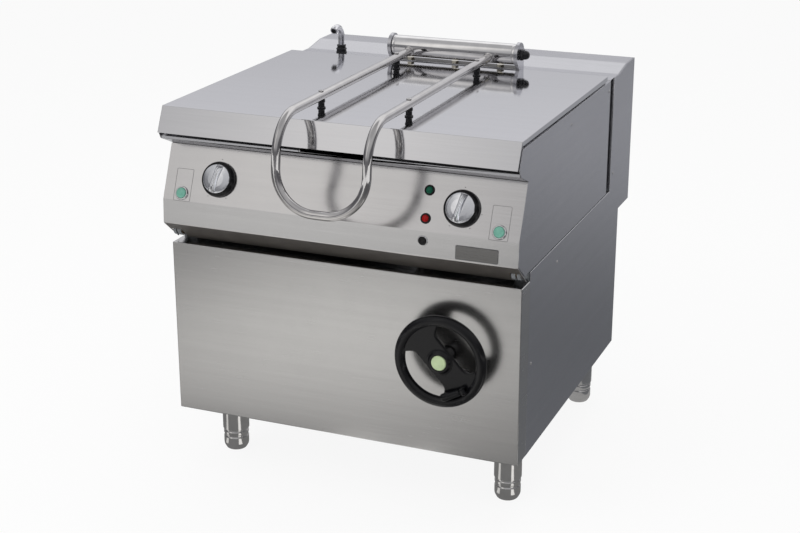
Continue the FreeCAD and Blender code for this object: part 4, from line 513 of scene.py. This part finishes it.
def studio_world():
    """Plain light for the surfaces, white for the camera, soft studio tones for gloss."""
    world = bpy.data.worlds.new("Studio")
    scene.world = world
    world.use_nodes = True
    tree = world.node_tree
    tree.nodes.clear()
    out = tree.nodes.new("ShaderNodeOutputWorld")
    rays = tree.nodes.new("ShaderNodeLightPath")
    direction = tree.nodes.new("ShaderNodeTexCoord").outputs["Generated"]

    parts = tree.nodes.new("ShaderNodeSeparateXYZ")
    tree.links.new(direction, parts.inputs[0])
    rise = parts.outputs["Z"]
    depth = parts.outputs["Y"]
    low = span(tree, rise, 0.5, 0.3)
    rear = math_node(tree, "MULTIPLY", span(tree, depth, 0.2, 0.6), low)
    sideways = math_node(tree, "ABSOLUTE", parts.outputs["X"])
    flank = math_node(tree, "MULTIPLY", span(tree, sideways, 0.6, 0.8), low)
    across = add_node(tree, "ShaderNodeVectorMath", operation="DOT_PRODUCT")
    across.inputs[1].default_value = (0.9, -0.43, 0)
    tree.links.new(direction, across.inputs[0])
    off_window = math_node(tree, "ABSOLUTE", math_node(tree, "ADD", across.outputs["Value"], 0.03))
    window = math_node(tree, "MULTIPLY", span(tree, off_window, 0.2, 0.02), span(tree, depth, -0.35, -0.6))
    window = math_node(tree, "MULTIPLY", window, span(tree, rise, 0.2, 0.34))
    tone = blend_colour(tree, span(tree, rise, 0.12, 0.3), (0.17, 0.17, 0.18), (0.40, 0.40, 0.41))
    tone = blend_colour(tree, span(tree, rise, 0.36, 0.72), tone, (0.50, 0.50, 0.51))
    upper_rear = math_node(tree, "MULTIPLY", span(tree, rise, 0.30, 0.48), span(tree, depth, 0.15, 0.4))
    tone = blend_colour(tree, upper_rear, tone, (0.96, 0.96, 0.97))
    tone = blend_colour(tree, span(tree, rise, 0.82, 0.90), tone, (0.42, 0.42, 0.43))
    horizon = blend_colour(tree, span(tree, rise, 0.13, 0.25), (0.40, 0.40, 0.42), (0.70, 0.70, 0.73))
    tone = blend_colour(tree, rear, tone, horizon)
    tone = blend_colour(tree, window, tone, (0.84, 0.825, 0.81))
    tone = blend_colour(tree, flank, tone, (0.12, 0.12, 0.13))
    gloss = math_node(
        tree, "ADD", rays.outputs["Is Glossy Ray"], rays.outputs["Is Transmission Ray"], clamp=True
    )
    seen = math_node(tree, "ADD", rays.outputs["Is Camera Ray"], gloss, clamp=True)
    backdrop = blend_colour(tree, rays.outputs["Is Camera Ray"], tone, (1.0, 1.0, 1.0))
    plain = (0.62, 0.62, 0.62)
    ground = tree.nodes.new("ShaderNodeBackground")
    wire(
        tree,
        (blend_colour(tree, seen, plain, backdrop), ground.inputs["Color"]),
        (ground.outputs[0], out.inputs["Surface"]),
    )


studio_world()


def area_light(name, spot, aim, size, power):
    data = bpy.data.lights.new(name, "AREA")
    data.shape = "RECTANGLE"
    data.size, data.size_y = size
    data.energy = power
    lamp = bpy.data.objects.new(name, data)
    lamp.location = spot
    lamp.rotation_euler = (Vector(aim) - Vector(spot)).to_track_quat("-Z", "Y").to_euler()
    lamp.visible_glossy = False
    scene.collection.objects.link(lamp)


area_light("KeyLight", (-2.2, -3.0, 3.2), (0, 0, 0.5), (2.4, 2.4), 60)
area_light("TopLight", (0.3, 0.2, 4.0), (0, 0, 0.5), (3.0, 3.0), 50)


def settle(piece, body, slot=None, *stands_for):
    """Rides a finished piece on its body and hides the nodes that it replaces; the slot is not used."""
    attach(piece, body)
    if stands_for:
        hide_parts(*stands_for)


# Softened copies of the folded sheets: lengths in millimetres, the area in square metres
LEAST_FOLD = 30
NARROW_FACE = 5
FLAT_FACE = 1.5e-3


def soften(node, piece_name, fold=2.0, rim=0.5, turn=24):
    """A copy of a sheet piece with rolled folds and eased rims; its large faces stay flat."""
    source = nodes[node]
    shape = bmesh.new()
    shape.from_mesh(source.data)
    bmesh.ops.remove_doubles(shape, verts=shape.verts, dist=2e-6)
    bmesh.ops.dissolve_limit(
        shape, angle_limit=math.radians(0.6), verts=shape.verts, edges=shape.edges, delimit=set()
    )

    def narrow(face):
        longest = max(edge.calc_length() for edge in face.edges)
        return face.calc_area() / longest < NARROW_FACE * MM

    def sharp(edge, least):
        return len(edge.link_faces) == 2 and edge.calc_face_angle(0) > math.radians(least)

    def roll(edges, radius, segments):
        if edges:
            bmesh.ops.bevel(
                shape, geom=edges, offset=radius * MM, offset_type="OFFSET", segments=segments, profile=0.5,
                affect="EDGES", clamp_overlap=True,
            )

    folds = [
        edge
        for edge in shape.edges
        if sharp(edge, turn)
        and edge.calc_length() > LEAST_FOLD * MM
        and not any(narrow(face) for face in edge.link_faces)
    ]
    roll([edge for edge in folds if edge.is_convex], fold, 4)
    roll([edge for edge in shape.edges if sharp(edge, 50) and edge.is_convex], rim, 2)
    for face in shape.faces:
        face.smooth = True
    mesh = bpy.data.meshes.new(piece_name)
    shape.to_mesh(mesh)
    shape.free()
    piece = new_object(piece_name, mesh, source.data.materials[0])
    weighted = piece.modifiers.new("EvenShading", "WEIGHTED_NORMAL")
    weighted.keep_sharp = True
    weighted.weight = 80
    mesh.set_sharp_from_angle(angle=math.radians(40))
    for face in mesh.polygons:
        if face.area > FLAT_FACE:
            face.use_smooth = False
    settle(piece, body_of(source)[0], slot_of[node], node)


for node, piece_name, fold in (
    ("lid_shell", "LidShell", 2.4),
    ("control_panel", "ControlPanel", 1.8),
    ("front_panel", "FrontPanel", 2.2),
    ("left_cheek", "LeftCheek", 1.5),
    ("right_cheek", "RightCheek", 1.5),
    ("left_side_panel", "LeftSidePanel", 1.5),
    ("right_side_panel", "RightSidePanel", 1.5),
    ("flue_casing", "FlueCasing", 1.8),
    ("flue_front", "FlueFront", 1.5),
    ("top_deck", "TopDeck", 1.8),
    ("hinge_base", "HingeBase", 1.5),
):
    soften(node, piece_name, fold, 0.9 if "Side" in piece_name else 0.5)


def paint_shade_on_faces(piece_name, belongs):
    """Paints shade on the faces of a softened copy that lie in shade, with a dark colour."""
    mesh = bpy.data.objects[piece_name].data
    mesh.materials.append(painted_shade_steel)
    for face in mesh.polygons:
        if belongs(face):
            face.material_index = 1
    return mesh


# The channel's top faces under the hinge tube get painted shadow, a dark colour, and its bolts are
# zinc-yellow
CHANNEL_TOP = 0.856
nodes["hinge_bolts"].data.materials[0] = bolt_steel
paint_shade_on_faces("HingeBase", lambda face: face.normal.z > 0.9 and face.center.z < CHANNEL_TOP)

# The lid's side flanges rise a little towards the front; places in metres
FLANGE_SIDE = 0.39
FLANGE_FOOT = 0.8402
FLANGE_FRONT = -0.366
FLANGE_REAR = 0.27
FLANGE_LENGTH = 0.62
FLANGE_RISE = 0.0024
for corner in bpy.data.objects["LidShell"].data.vertices:
    if abs(corner.co.x) > FLANGE_SIDE and corner.co.z < FLANGE_FOOT and corner.co.y > FLANGE_FRONT:
        corner.co.z += FLANGE_RISE * (FLANGE_REAR - corner.co.y) / FLANGE_LENGTH

# The strip tucked under the panel gets painted shade, a dark colour, and reaches further back and down; in
# metres
TUCK_TOP = 0.5645
TUCK_FRONT = -0.345
TUCK_REACH = Vector((0, 0.014, -0.0114))
tucked = paint_shade_on_faces("ControlPanel", lambda face: face.normal.z < -0.5 and face.normal.y < -0.3)
for corner in tucked.vertices:
    if corner.co.z < TUCK_TOP and corner.co.y > TUCK_FRONT:
        corner.co += TUCK_REACH


# Round pieces, in millimetres from the middle of the door's foot line
def spot(x, y, z):
    return Vector((x, y + DOOR_FACE, z)) * MM


def placed(x, y, z, turn=None):
    """Matrix that puts a shape drawn in millimetres at a spot of the cabinet."""
    matrix = Matrix.Translation(spot(x, y, z))
    if turn is not None:
        matrix = matrix @ turn.to_4x4()
    return matrix @ Matrix.Scale(MM, 4)


# Turns that bring a shape's Z axis to the front, the right and the left
FORWARD = Matrix(((1, 0, 0), (0, 0, -1), (0, 1, 0)))
TO_RIGHT = Matrix(((0, 0, 1), (1, 0, 0), (0, 1, 0)))
TO_LEFT = Matrix(((0, 0, -1), (-1, 0, 0), (0, 1, 0)))
# Depth and height of the panel's top, fold and nose
PANEL_TOP = (18, 761)
PANEL_FOLD = (-29, 649)
PANEL_NOSE = (-32, 596)


def on_face(x, z, low, high, lean=0.0):
    """Matrix on one of the panel's two faces: X to the right, Y up along it, Z outwards."""
    rise = Vector((high[0] - low[0], high[1] - low[1]))
    y = low[0] + (z - low[1]) * rise.x / rise.y
    angle = math.atan2(rise.y, rise.x)
    turn = Matrix.Rotation(angle, 3, "X") @ Matrix.Rotation(math.radians(-lean), 3, "Z")
    return placed(x, y, z, turn)


def on_slope(x, z, lean=0.0):
    return on_face(x, z, PANEL_FOLD, PANEL_TOP, lean)


def on_band(x, z):
    return on_face(x, z, PANEL_NOSE, PANEL_FOLD)


def eased(outline, radius, steps=3, closed=False):
    """The outline with its corners rounded; a corner near its neighbour gets a smaller round."""
    points = [Vector(point) for point in outline]
    count = len(points)
    result = []
    for index, corner in enumerate(points):
        if not closed and index in (0, count - 1):
            result.append(corner)
            continue
        before = points[index - 1] - corner
        after = points[(index + 1) % count] - corner
        reach = min(radius, before.length * 0.45, after.length * 0.45)
        first = corner + before.normalized() * reach
        last = corner + after.normalized() * reach
        for step in range(steps + 1):
            share = step / steps
            result.append(
                first * (1 - share) ** 2 + corner * 2 * share * (1 - share) + last * share**2
            )
    return result


def add_rings(shape, rings, closed=False):
    """Skins a row of point rings; a ring of one point is a pole."""
    rows = [[shape.verts.new(point) for point in ring] for ring in rings]
    pairs = list(zip(rows, rows[1:]))
    if closed:
        pairs.append((rows[-1], rows[0]))
    for low, high in pairs:
        count = max(len(low), len(high))
        for index in range(count):
            ahead = (index + 1) % count
            corners = [low[index % len(low)]]
            if len(low) > 1:
                corners.append(low[ahead])
            if len(high) > 1:
                corners.append(high[ahead])
            corners.append(high[index % len(high)])
            shape.faces.new(corners)


def add_turned(shape, profile, matrix, sides=48, ease=0.6, closed=False):
    """Turns a profile of (radius, height) about the matrix's Z axis."""
    rings = []
    for radius, height in eased(profile, ease, closed=closed):
        if radius < 1e-6:
            rings.append([matrix @ Vector((0, 0, height))])
            continue
        rings.append(
            [
                matrix @ Vector((radius * math.cos(turn), radius * math.sin(turn), height))
                for turn in (math.tau * number / sides for number in range(sides))
            ]
        )
    add_rings(shape, rings, closed)


def bent_path(points, radii, steps=16):
    """Straight runs joined by arcs that touch them."""
    path = [points[0]]
    for before, corner, after, radius in zip(points, points[1:], points[2:], radii):
        back = (before - corner).normalized()
        ahead = (after - corner).normalized()
        half_turn = (math.pi - back.angle(ahead)) / 2
        reach = radius * math.tan(half_turn)
        centre = corner + (back + ahead).normalized() * radius / math.cos(half_turn)
        first = (corner + back * reach - centre).normalized()
        last = (corner + ahead * reach - centre).normalized()
        path += [centre + first.slerp(last, step / steps) * radius for step in range(steps + 1)]
    path.append(points[-1])
    return path


def add_tube(shape, path, radius, matrix, sides=36):
    """A round tube along a path, closed at both ends."""
    rings = [[matrix @ path[0]]]
    normal = (path[1] - path[0]).orthogonal().normalized()
    for index, point in enumerate(path):
        ahead = path[min(index + 1, len(path) - 1)] - path[max(index - 1, 0)]
        tangent = ahead.normalized()
        normal = (normal - tangent * normal.dot(tangent)).normalized()
        side = tangent.cross(normal)
        rings.append(
            [
                matrix @ (point + (normal * math.cos(turn) + side * math.sin(turn)) * radius)
                for turn in (math.tau * number / sides for number in range(sides))
            ]
        )
    rings.append([matrix @ path[-1]])
    add_rings(shape, rings)


def finished(name, shape, node, finish=None, stands_for=(), material=None):
    """Makes a piece from a shape; it takes the node's finish and body unless told otherwise."""
    bmesh.ops.recalc_face_normals(shape, faces=shape.faces)
    for face in shape.faces:
        face.smooth = True
    mesh = bpy.data.meshes.new(name)
    shape.to_mesh(mesh)
    shape.free()
    slot = finish or slot_of[node]
    piece = new_object(name, mesh, material or finishes[slot])
    mesh.set_sharp_from_angle(angle=math.radians(42))
    settle(piece, body_of(nodes[node])[0], slot, *stands_for)


# Legs and feet
FEET = ("front_left_foot", "front_right_foot", "rear_left_foot", "rear_right_foot")
LEG_SPOTS = [(x, y) for y in (138, 700) for x in (-335, 335)]
legs = bmesh.new()
for x, y in LEG_SPOTS:
    add_turned(legs, ((12.5, 52), (30.5, 52), (30.5, 149), (12.5, 149)), placed(x, y, 0), 64, 1.2, True)
finished("LegTubes", legs, "leg_tubes", stands_for=("leg_tubes",))
FOOT = (
    (0, 0), (21, 0), (24, 3), (28.2, 11), (29, 16), (29, 32), (27.2, 34.5), (27.2, 37.5), (29, 40),
    (29, 46), (27.5, 48), (27.5, 51.5), (12, 51.5), (12, 121), (0, 121),
)
for node, (x, y) in zip(FEET, LEG_SPOTS):
    foot = bmesh.new()
    add_turned(foot, FOOT, placed(x, y, 0), 64, 1.5)
    finished(node.title().replace("_", ""), foot, node, stands_for=(node,))


# Handwheel
WHEEL_X = 243
WHEEL_Z = 379
WHEEL = placed(WHEEL_X, -40, WHEEL_Z, FORWARD)
WHEEL_RADIUS = 100
RIM_RADIUS = 11
RIM_CENTRE = WHEEL_RADIUS - RIM_RADIUS
RIM_ROUND = 10.9
RIM_SIDES = 24
WEB_MIDDLE = 5
wheel = bmesh.new()
rim = []
for number in range(RIM_SIDES):
    turn = math.tau * number / RIM_SIDES
    bulge = 1 + 0.05 * math.cos(2 * turn)
    rim.append(
        (RIM_CENTRE + RIM_ROUND * math.sin(turn) / bulge, WEB_MIDDLE + RIM_ROUND * math.cos(turn))
    )
add_turned(wheel, rim, WHEEL, 96, 0.1, True)
add_turned(wheel, ((10.1, -36), (17.6, -36), (17.6, 2), (10.1, 2)), WHEEL, 48, 1.0, True)
add_turned(
    wheel,
    ((16.2, 8), (29, 8), (29, 10.3), (25, 11.2), (22, 14.2), (20.5, 15.5), (17.4, 15.5), (16.2, 14)),
    WHEEL, 64, 0.7, True,
)


def wheel_opening():
    """Outline of one opening: a straight edge by the hub and an arc inside the rim."""
    inside = 78.5
    hub_edge = 28
    aim = math.radians(223)
    outward = Vector((math.cos(aim), math.sin(aim)))
    side = Vector((-outward.y, outward.x))
    spread = math.radians(52)
    reach = inside * math.sin(spread) * 0.8
    outline = [outward * hub_edge - side * reach, outward * hub_edge + side * reach]
    for step in range(25):
        turn = spread * (1 - step / 12)
        outline.append((outward * math.cos(turn) + side * math.sin(turn)) * inside)
    sharp = {0, 1, 2, len(outline) - 1}
    rounded = []
    for index, corner in enumerate(outline):
        if index not in sharp:
            rounded.append(corner)
            continue
        trio = [outline[index - 1], corner, outline[(index + 1) % len(outline)]]
        wide = 13 if index in (0, 1) else 6
        rounded += eased(trio, wide, 6)[1:-1]
    return rounded


def web_mesh():
    """The wheel's web with its two openings and softened edges."""
    curve = bpy.data.curves.new("WheelWeb", "CURVE")
    curve.dimensions = "2D"
    curve.fill_mode = "BOTH"
    curve.extrude = 3.4
    curve.bevel_depth = 1.6
    curve.offset = -1.6
    curve.bevel_resolution = 3
    turns = [math.tau * number / 96 for number in range(96)]
    ring = [Vector((RIM_CENTRE * math.cos(turn), RIM_CENTRE * math.sin(turn))) for turn in turns]
    opening = wheel_opening()
    for outline in (ring, opening, [-point for point in opening]):
        spline = curve.splines.new("POLY")
        spline.points.add(len(outline) - 1)
        for point, place in zip(spline.points, outline):
            point.co = (place.x, place.y, 0, 1)
        spline.use_cyclic_u = True
    holder = bpy.data.objects.new("WheelWebHolder", curve)
    scene.collection.objects.link(holder)
    mesh = bpy.data.meshes.new_from_object(holder.evaluated_get(bpy.context.evaluated_depsgraph_get()))
    bpy.data.objects.remove(holder)
    bpy.data.curves.remove(curve)
    mesh.transform(WHEEL @ Matrix.Translation((0, 0, WEB_MIDDLE)))
    return mesh


wheel.from_mesh(web_mesh())
GRIP_ANGLE = math.radians(64)
GRIP_ACROSS = Vector((math.cos(GRIP_ANGLE), 0, -math.sin(GRIP_ANGLE)))
GRIP_ALONG = Vector((-math.sin(GRIP_ANGLE), 0, -math.cos(GRIP_ANGLE)))
GRIP_REACH = WHEEL_RADIUS - 2.65 * RIM_RADIUS
GRIP_START = Vector((WHEEL_X, -59.4, WHEEL_Z)) + GRIP_ACROSS * GRIP_REACH - GRIP_ALONG * 26


def aimed(point, out, up):
    """Matrix at a point of the cabinet with Z along out and Y along up."""
    turn = Matrix((up.cross(out), up, out)).transposed()
    return placed(*point, turn)


FRONT = Vector((0, -1, 0))
EAR_RADIUS = 5.2
EAR_THICK = 3
eye_matrix = aimed(GRIP_START, GRIP_ACROSS, FRONT)
half_circle = [math.pi * number / 12 for number in range(13)]
ear = [(EAR_RADIUS * math.cos(turn), EAR_RADIUS * math.sin(turn)) for turn in half_circle]
ear += [(-EAR_RADIUS, -11), (EAR_RADIUS, -11)]
for low in (-7.9, 4.9):
    rings = [[eye_matrix @ Vector((0, -3, low))]]
    for shrink, rise in ((0.9, 0), (1, 0.5), (1, 2.5), (0.9, EAR_THICK)):
        rings.append([eye_matrix @ Vector((x * shrink, y * shrink, low + rise)) for x, y in ear])
    rings.append([eye_matrix @ Vector((0, -3, low + EAR_THICK))])
    add_rings(wheel, rings)
finished("Handwheel", wheel, "handwheel", stands_for=("handwheel",))

cap = bmesh.new()
add_turned(
    cap,
    ((0, 9.9), (15.9, 9.9), (15.9, 16.2), (14.4, 17.4), (10.5, 17.9), (10.1, 17.5), (9.7, 17.9), (0, 18.6)),
    WHEEL, 48, 0.5,
)
finished("HubCap", cap, "hub_cap", stands_for=("hub_cap",))

grip = bmesh.new()
grip_matrix = aimed(GRIP_START, GRIP_ALONG, FRONT)
add_turned(
    grip,
    (
        (0, 2), (4, 2), (4, 6), (6.2, 6.6), (7.2, 9), (7.6, 20), (8.6, 34), (8.9, 44), (8.3, 49),
        (5.5, 51.7), (0, 52),
    ),
    grip_matrix, 36, 1.2,
)
add_turned(grip, ((0, -4.5), (6, -4.5), (6, 4.5), (0, 4.5)), eye_matrix, 32, 0.8)
add_turned(grip, ((0, -8.2), (2.5, -8.2), (2.5, 8.2), (0, 8.2)), eye_matrix, 20, 0.4)
finished("CrankGrip", grip, "crank_grip", stands_for=("crank_grip",))


# Lid handle with its posts, hinge tube and tension nut
BARS = (-77, 120)
BAR_REAR = 600
BAR_Z = 877
KNEE_Y = -120.5
LOOP_Y = -142
LOOP_Z = 693.5
HANDLE_BENDS = (84, 85, 85, 84)
HANDLE_RADIUS = 9.5
COLLAR_Y = 579.4
POST_ROWS = (87, 500)
handle = bmesh.new()
side_points = [[(x, BAR_REAR, BAR_Z), (x, KNEE_Y, BAR_Z), (x, LOOP_Y, LOOP_Z)] for x in BARS]
handle_points = [Vector(point) for point in side_points[0] + side_points[1][::-1]]
add_tube(handle, bent_path(handle_points, HANDLE_BENDS), HANDLE_RADIUS, placed(0, 0, 0), 40)
for x in BARS:
    add_turned(
        handle, ((9.3, 0), (12, 0), (12, 2), (9.3, 3.5)), placed(x, COLLAR_Y, BAR_Z, FORWARD), 40, 0.8, True
    )
finished("LidHandle", handle, "lid_handle", stands_for=("lid_handle",))

posts = bmesh.new()
nuts = bmesh.new()
for x in BARS:
    for y in POST_ROWS:
        add_turned(
            posts,
            ((0, 850.8), (9, 850.8), (9, 853), (6.8, 854), (6.8, 862), (8.2, 864), (8.2, 869), (0, 869)),
            placed(x, y, 0), 36, 0.7,
        )
        add_turned(
            nuts, ((0, 5), (5.6, 8.2), (5.6, 11), (4.2, 12.4), (0, 12.4)), placed(x, y, BAR_Z), 24, 0.7
        )
finished("HandlePosts", posts, "handle_posts", stands_for=("handle_posts",))
finished("PostNuts", nuts, "lid_handle", "polished_steel")

AXIS = (602, 885)
NUT_X = 191.5
tube = bmesh.new()
add_turned(
    tube,
    (
        (8.1, -122.5), (23, -122.5), (24, -121.5), (24, -117), (23.3, -116.3), (23.3, -115.3), (24, -114.6),
        (24, 174.6), (23.3, 175.3), (23.3, 176.3), (24, 177), (24, 181.5), (23, 182.5), (8.1, 182.5),
    ),
    placed(0, *AXIS, TO_RIGHT), 96, 0.4, True,
)
finished("HingeTube", tube, "hinge_tube", stands_for=("hinge_tube",), material=tube_steel)

nut = bmesh.new()
nut_spot = placed(NUT_X, *AXIS, TO_RIGHT)
add_turned(nut, ((8.1, 0.2), (13.6, 0.2), (13.6, 7), (12, 8.4), (8.1, 8.4)), nut_spot, 6, 0.5, True)
add_turned(nut, ((0, 8), (10.6, 8), (10.6, 12), (9, 17), (5.5, 20.5), (0, 21.5)), nut_spot, 36, 1.2)
finished("TensionNut", nut, "tension_nut", stands_for=("tension_nut",))


# Tap
TAP_SPOT = (-301, 688, 0)
NECK_RADIUS = 27
NECK_Z = 875
NECK_TURN = math.radians(118)
tap_matrix = placed(*TAP_SPOT)
tap = bmesh.new()
add_turned(
    tap,
    (
        (0, 796), (8, 796), (8, 835.5), (13.4, 836.2), (13.4, 838), (12.2, 839), (12.2, 844), (13.2, 845),
        (13.2, 846.5), (11, 848), (10.4, 852), (11.4, 853.5), (11.4, 855.5), (8.1, 856), (8.1, 846), (0, 846),
    ),
    tap_matrix, 48, 0.6,
)
finished("TapBody", tap, "tap_body", stands_for=("tap_body",))

neck = bmesh.new()
bend = [Vector((0, 0, 846.5)), Vector((0, 0, 874))]
for step in range(25):
    turn = NECK_TURN * step / 24
    bend.append(Vector((0, NECK_RADIUS * (math.cos(turn) - 1), NECK_Z + NECK_RADIUS * math.sin(turn))))
add_tube(neck, bend, 7.9, tap_matrix, 36)
flow = (bend[-1] - bend[-2]).normalized()
outlet = aimed(Vector(TAP_SPOT) + bend[-1], flow, Vector((1, 0, 0)))
add_turned(
    neck,
    ((6, -2), (8.2, -4), (9.4, -3), (9.4, 4.6), (8.6, 5.6), (6.6, 5.6), (6, 4.6)),
    outlet, 36, 0.6, True,
)
finished("TapSpout", neck, "tap_spout", stands_for=("tap_spout",))
nozzle = bmesh.new()
add_turned(nozzle, ((0, -1.5), (6.4, -1.5), (6.4, 5.9), (5, 6.2), (4.6, 4.8), (0, 4.8)), outlet, 30, 0.4)
finished("TapNozzle", nozzle, "tap_spout", "black_plastic")


# Knobs
KNOB_X = 273
KNOB_Z = 699
KNOB_LEAN = 13
RIDGE_REACH = 29.2
RIDGE_HALF = 8.4
RIDGE_TOP = 31
RIDGE_FOOT = 15.2
SKIRT = (
    (0, -12), (4, -12), (4, 0.8), (37.2, 0.8), (38, 1.8), (38, 6), (37.2, 8.5), (35.6, 12.4), (33.6, 14.4),
    (31.6, 15), (0, 15),
)


def add_ridge(shape, matrix):
    """Waisted grip bar across the knob's face, with a fine line along its crest."""
    rings = []
    for step in range(-16, 17):
        along = step / 16
        reach = RIDGE_REACH * along
        half = RIDGE_HALF * (0.74 + 0.26 * along * along)
        high = RIDGE_TOP - 5.5 * along**6
        base = RIDGE_FOOT + 4.2 * (1 - along * along)
        section = []
        for across, lift in (
            (-1.0, 0.0), (-0.93, 0.12), (-0.8, 0.38), (-0.62, 0.66), (-0.44, 0.86), (-0.3, 0.96), (-0.2, 1.0),
            (-0.1, 1.0), (-0.05, 0.93), (0.05, 0.93), (0.1, 1.0), (0.2, 1.0), (0.3, 0.96), (0.44, 0.86),
            (0.62, 0.66), (0.8, 0.38), (0.93, 0.12), (1.0, 0.0), (0.9, -0.25), (-0.9, -0.25),
        ):
            section.append(matrix @ Vector((half * across, reach, base + (high - base) * lift)))
        rings.append(section)
    middle = [sum(ring, Vector()) / len(ring) for ring in (rings[0], rings[-1])]
    add_rings(shape, [[middle[0]], *rings, [middle[1]]])


for side, x in (("Left", -KNOB_X), ("Right", KNOB_X)):
    node = side.lower() + "_knob"
    skirt = bmesh.new()
    add_turned(skirt, SKIRT, on_slope(x, KNOB_Z), 72, 1.2)
    finished(side + "Knob", skirt, node, stands_for=(node,))
    face = bmesh.new()
    add_turned(
        face,
        ((0, 15.1), (30.6, 15.1), (31, 15.5), (30.2, 16.6), (26, 17.6), (18, 19), (9, 19.8), (0, 20)),
        on_slope(x, KNOB_Z, KNOB_LEAN), 72, 0.5,
    )
    add_ridge(face, on_slope(x, KNOB_Z, KNOB_LEAN))
    finished(side + "KnobFace", face, node + "_face", stands_for=(node + "_face",))


# Push buttons, reset button and pilot lamps
BUTTON_X = 357
BUTTON_Z = 664
PILOT_X = 199
RESET_SPOT = (197, 629)
reset_matrix = on_band(*RESET_SPOT)


def add_collar(shape, matrix, outer, inner, rise, deep):
    add_turned(
        shape,
        (
            (inner, -deep), (inner + 1.5, -deep), (inner + 1.5, 0.1), (outer, 0.1), (outer, rise * 0.45),
            (outer - (outer - inner) * 0.4, rise), (inner + 0.3, rise), (inner, rise - 0.3),
        ),
        matrix, 48, 0.5, True,
    )


collars = bmesh.new()
for side, x in (("Left", -BUTTON_X), ("Right", BUTTON_X)):
    add_collar(collars, on_slope(x, BUTTON_Z), 15, 11.7, 4, 17)
    cap = bmesh.new()
    add_turned(
        cap,
        ((0, -11), (11.3, -11), (11.3, 4.6), (10.3, 5.9), (8.4, 6.2), (7.2, 5.9), (5, 6.3), (0, 6.9)),
        on_slope(x, BUTTON_Z), 48, 0.8,
    )
    node = side.lower() + "_button"
    finished(side + "Button", cap, node, stands_for=(node,))
add_collar(collars, reset_matrix, 11, 8.9, 2, 17)
finished("ButtonBezels", collars, "button_bezels", stands_for=("button_bezels",))

reset = bmesh.new()
add_turned(
    reset, ((0, -11), (8.5, -11), (8.5, 3.6), (7.4, 4.8), (4.4, 5), (3.8, 4.2), (0, 4)), reset_matrix, 40, 0.6
)
finished("ResetButton", reset, "reset_button", stands_for=("reset_button",))

bezels = bmesh.new()
for colour, z in (("green", 726), ("red", 673)):
    add_collar(bezels, on_slope(PILOT_X, z), 11, 7.5, 3, 20)
    lens = bmesh.new()
    add_turned(
        lens,
        ((0, -8), (7.4, -8), (7.4, 2.6), (6.6, 3.8), (5, 4.7), (2.6, 5.1), (0, 5.2)),
        on_slope(PILOT_X, z), 40, 0.5,
    )
    node = colour + "_pilot_lens"
    finished(colour.title() + "PilotLens", lens, node, stands_for=(node,))
finished("PilotBezels", bezels, "pilot_bezels", stands_for=("pilot_bezels",))


# Fine details on the panel: button frames, bare plate and dial marks
def add_slab(shape, matrix, outline, low, high, ease=0.0):
    """A flat slab over an outline, with its upper rim drawn in by ease."""
    middle = sum((Vector(point) for point in outline), Vector((0, 0))) / len(outline)
    rows = []
    for height, inset in ((low, 0), (high - ease, 0), (high, ease)):
        rows.append(
            [
                matrix @ Vector((*(Vector(point) - (Vector(point) - middle).normalized() * inset), height))
                for point in outline
            ]
        )
    add_rings(shape, [[matrix @ Vector((*middle, low))], *rows, [matrix @ Vector((*middle, high))]])


def rounded_box(wide, tall, corner):
    outline = ((-wide / 2, -tall / 2), (wide / 2, -tall / 2), (wide / 2, tall / 2), (-wide / 2, tall / 2))
    return eased(outline, corner, 4, closed=True)


def add_frame(shape, matrix, wide, tall, line, rise):
    """A thin raised line round a rounded box."""
    outer = rounded_box(wide, tall, 3)
    inner = rounded_box(wide - 2 * line, tall - 2 * line, 3 - line)
    rings = [
        [matrix @ Vector((*point, height)) for point in outline]
        for outline, height in ((outer, -0.1), (outer, rise), (inner, rise), (inner, -0.1))
    ]
    add_rings(shape, rings, closed=True)


FRAME_X = 356
FRAME_Z = 680.5
PLATE_SPOT = (313, 614.5)
frames = bmesh.new()
for x in (-FRAME_X, FRAME_X):
    add_frame(frames, on_slope(x, FRAME_Z), 40, 70, 0.7, 0.25)
finished("ButtonFrames", frames, "control_panel", "gear_steel", material=dark_line)

plate_matrix = on_band(*PLATE_SPOT)
name_plate = bmesh.new()
add_slab(name_plate, plate_matrix, rounded_box(88, 27, 2.5), -0.1, 1.3, 0.5)
finished("BarePlate", name_plate, "control_panel", "gear_steel", material=plate_metal)
plate_edge = bmesh.new()
add_frame(plate_edge, plate_matrix, 90.5, 29.5, 1.4, 0.9)
finished("PlateEdge", plate_edge, "control_panel", "gear_steel", material=dark_line)

DIAL_RADIUS = 43
DOT_RADIUS = 0.9
circle = [math.tau * number / 12 for number in range(12)]
dot = [(DOT_RADIUS * math.cos(turn), DOT_RADIUS * math.sin(turn)) for turn in circle]
marks = bmesh.new()
for x, turns in ((-KNOB_X, (0, 150, 210)), (KNOB_X, (0, 100, 150, 210))):
    for turn in turns:
        angle = math.radians(turn)
        offset = Matrix.Translation((DIAL_RADIUS * math.sin(angle), DIAL_RADIUS * math.cos(angle), 0))
        add_slab(marks, on_slope(x, KNOB_Z) @ offset, dot, -0.1, 0.2)
finished("DialMarks", marks, "control_panel", "black_plastic")


# Screw heads on the sides
HALF_WIDTH = 400
SCREW = ((0, -0.5), (3.4, -0.5), (3.4, 0.5), (2.4, 1.3), (1.5, 1.4), (1.3, 0.8), (0, 0.8))
for name, node, spots in (
    ("BaseScrews", "right_side_panel", ((241.2, 523.3), (72.3, 353.8), (685.6, 601.9))),
    ("PanScrews", "right_cheek", ((315.5, 806.4), (618, 813.5))),
):
    screws = bmesh.new()
    for turn, x in ((TO_RIGHT, HALF_WIDTH), (TO_LEFT, -HALF_WIDTH)):
        for y, z in spots:
            add_turned(screws, SCREW, placed(x, y, z, turn), 20, 0.3)
    finished(name, screws, node, "polished_steel")
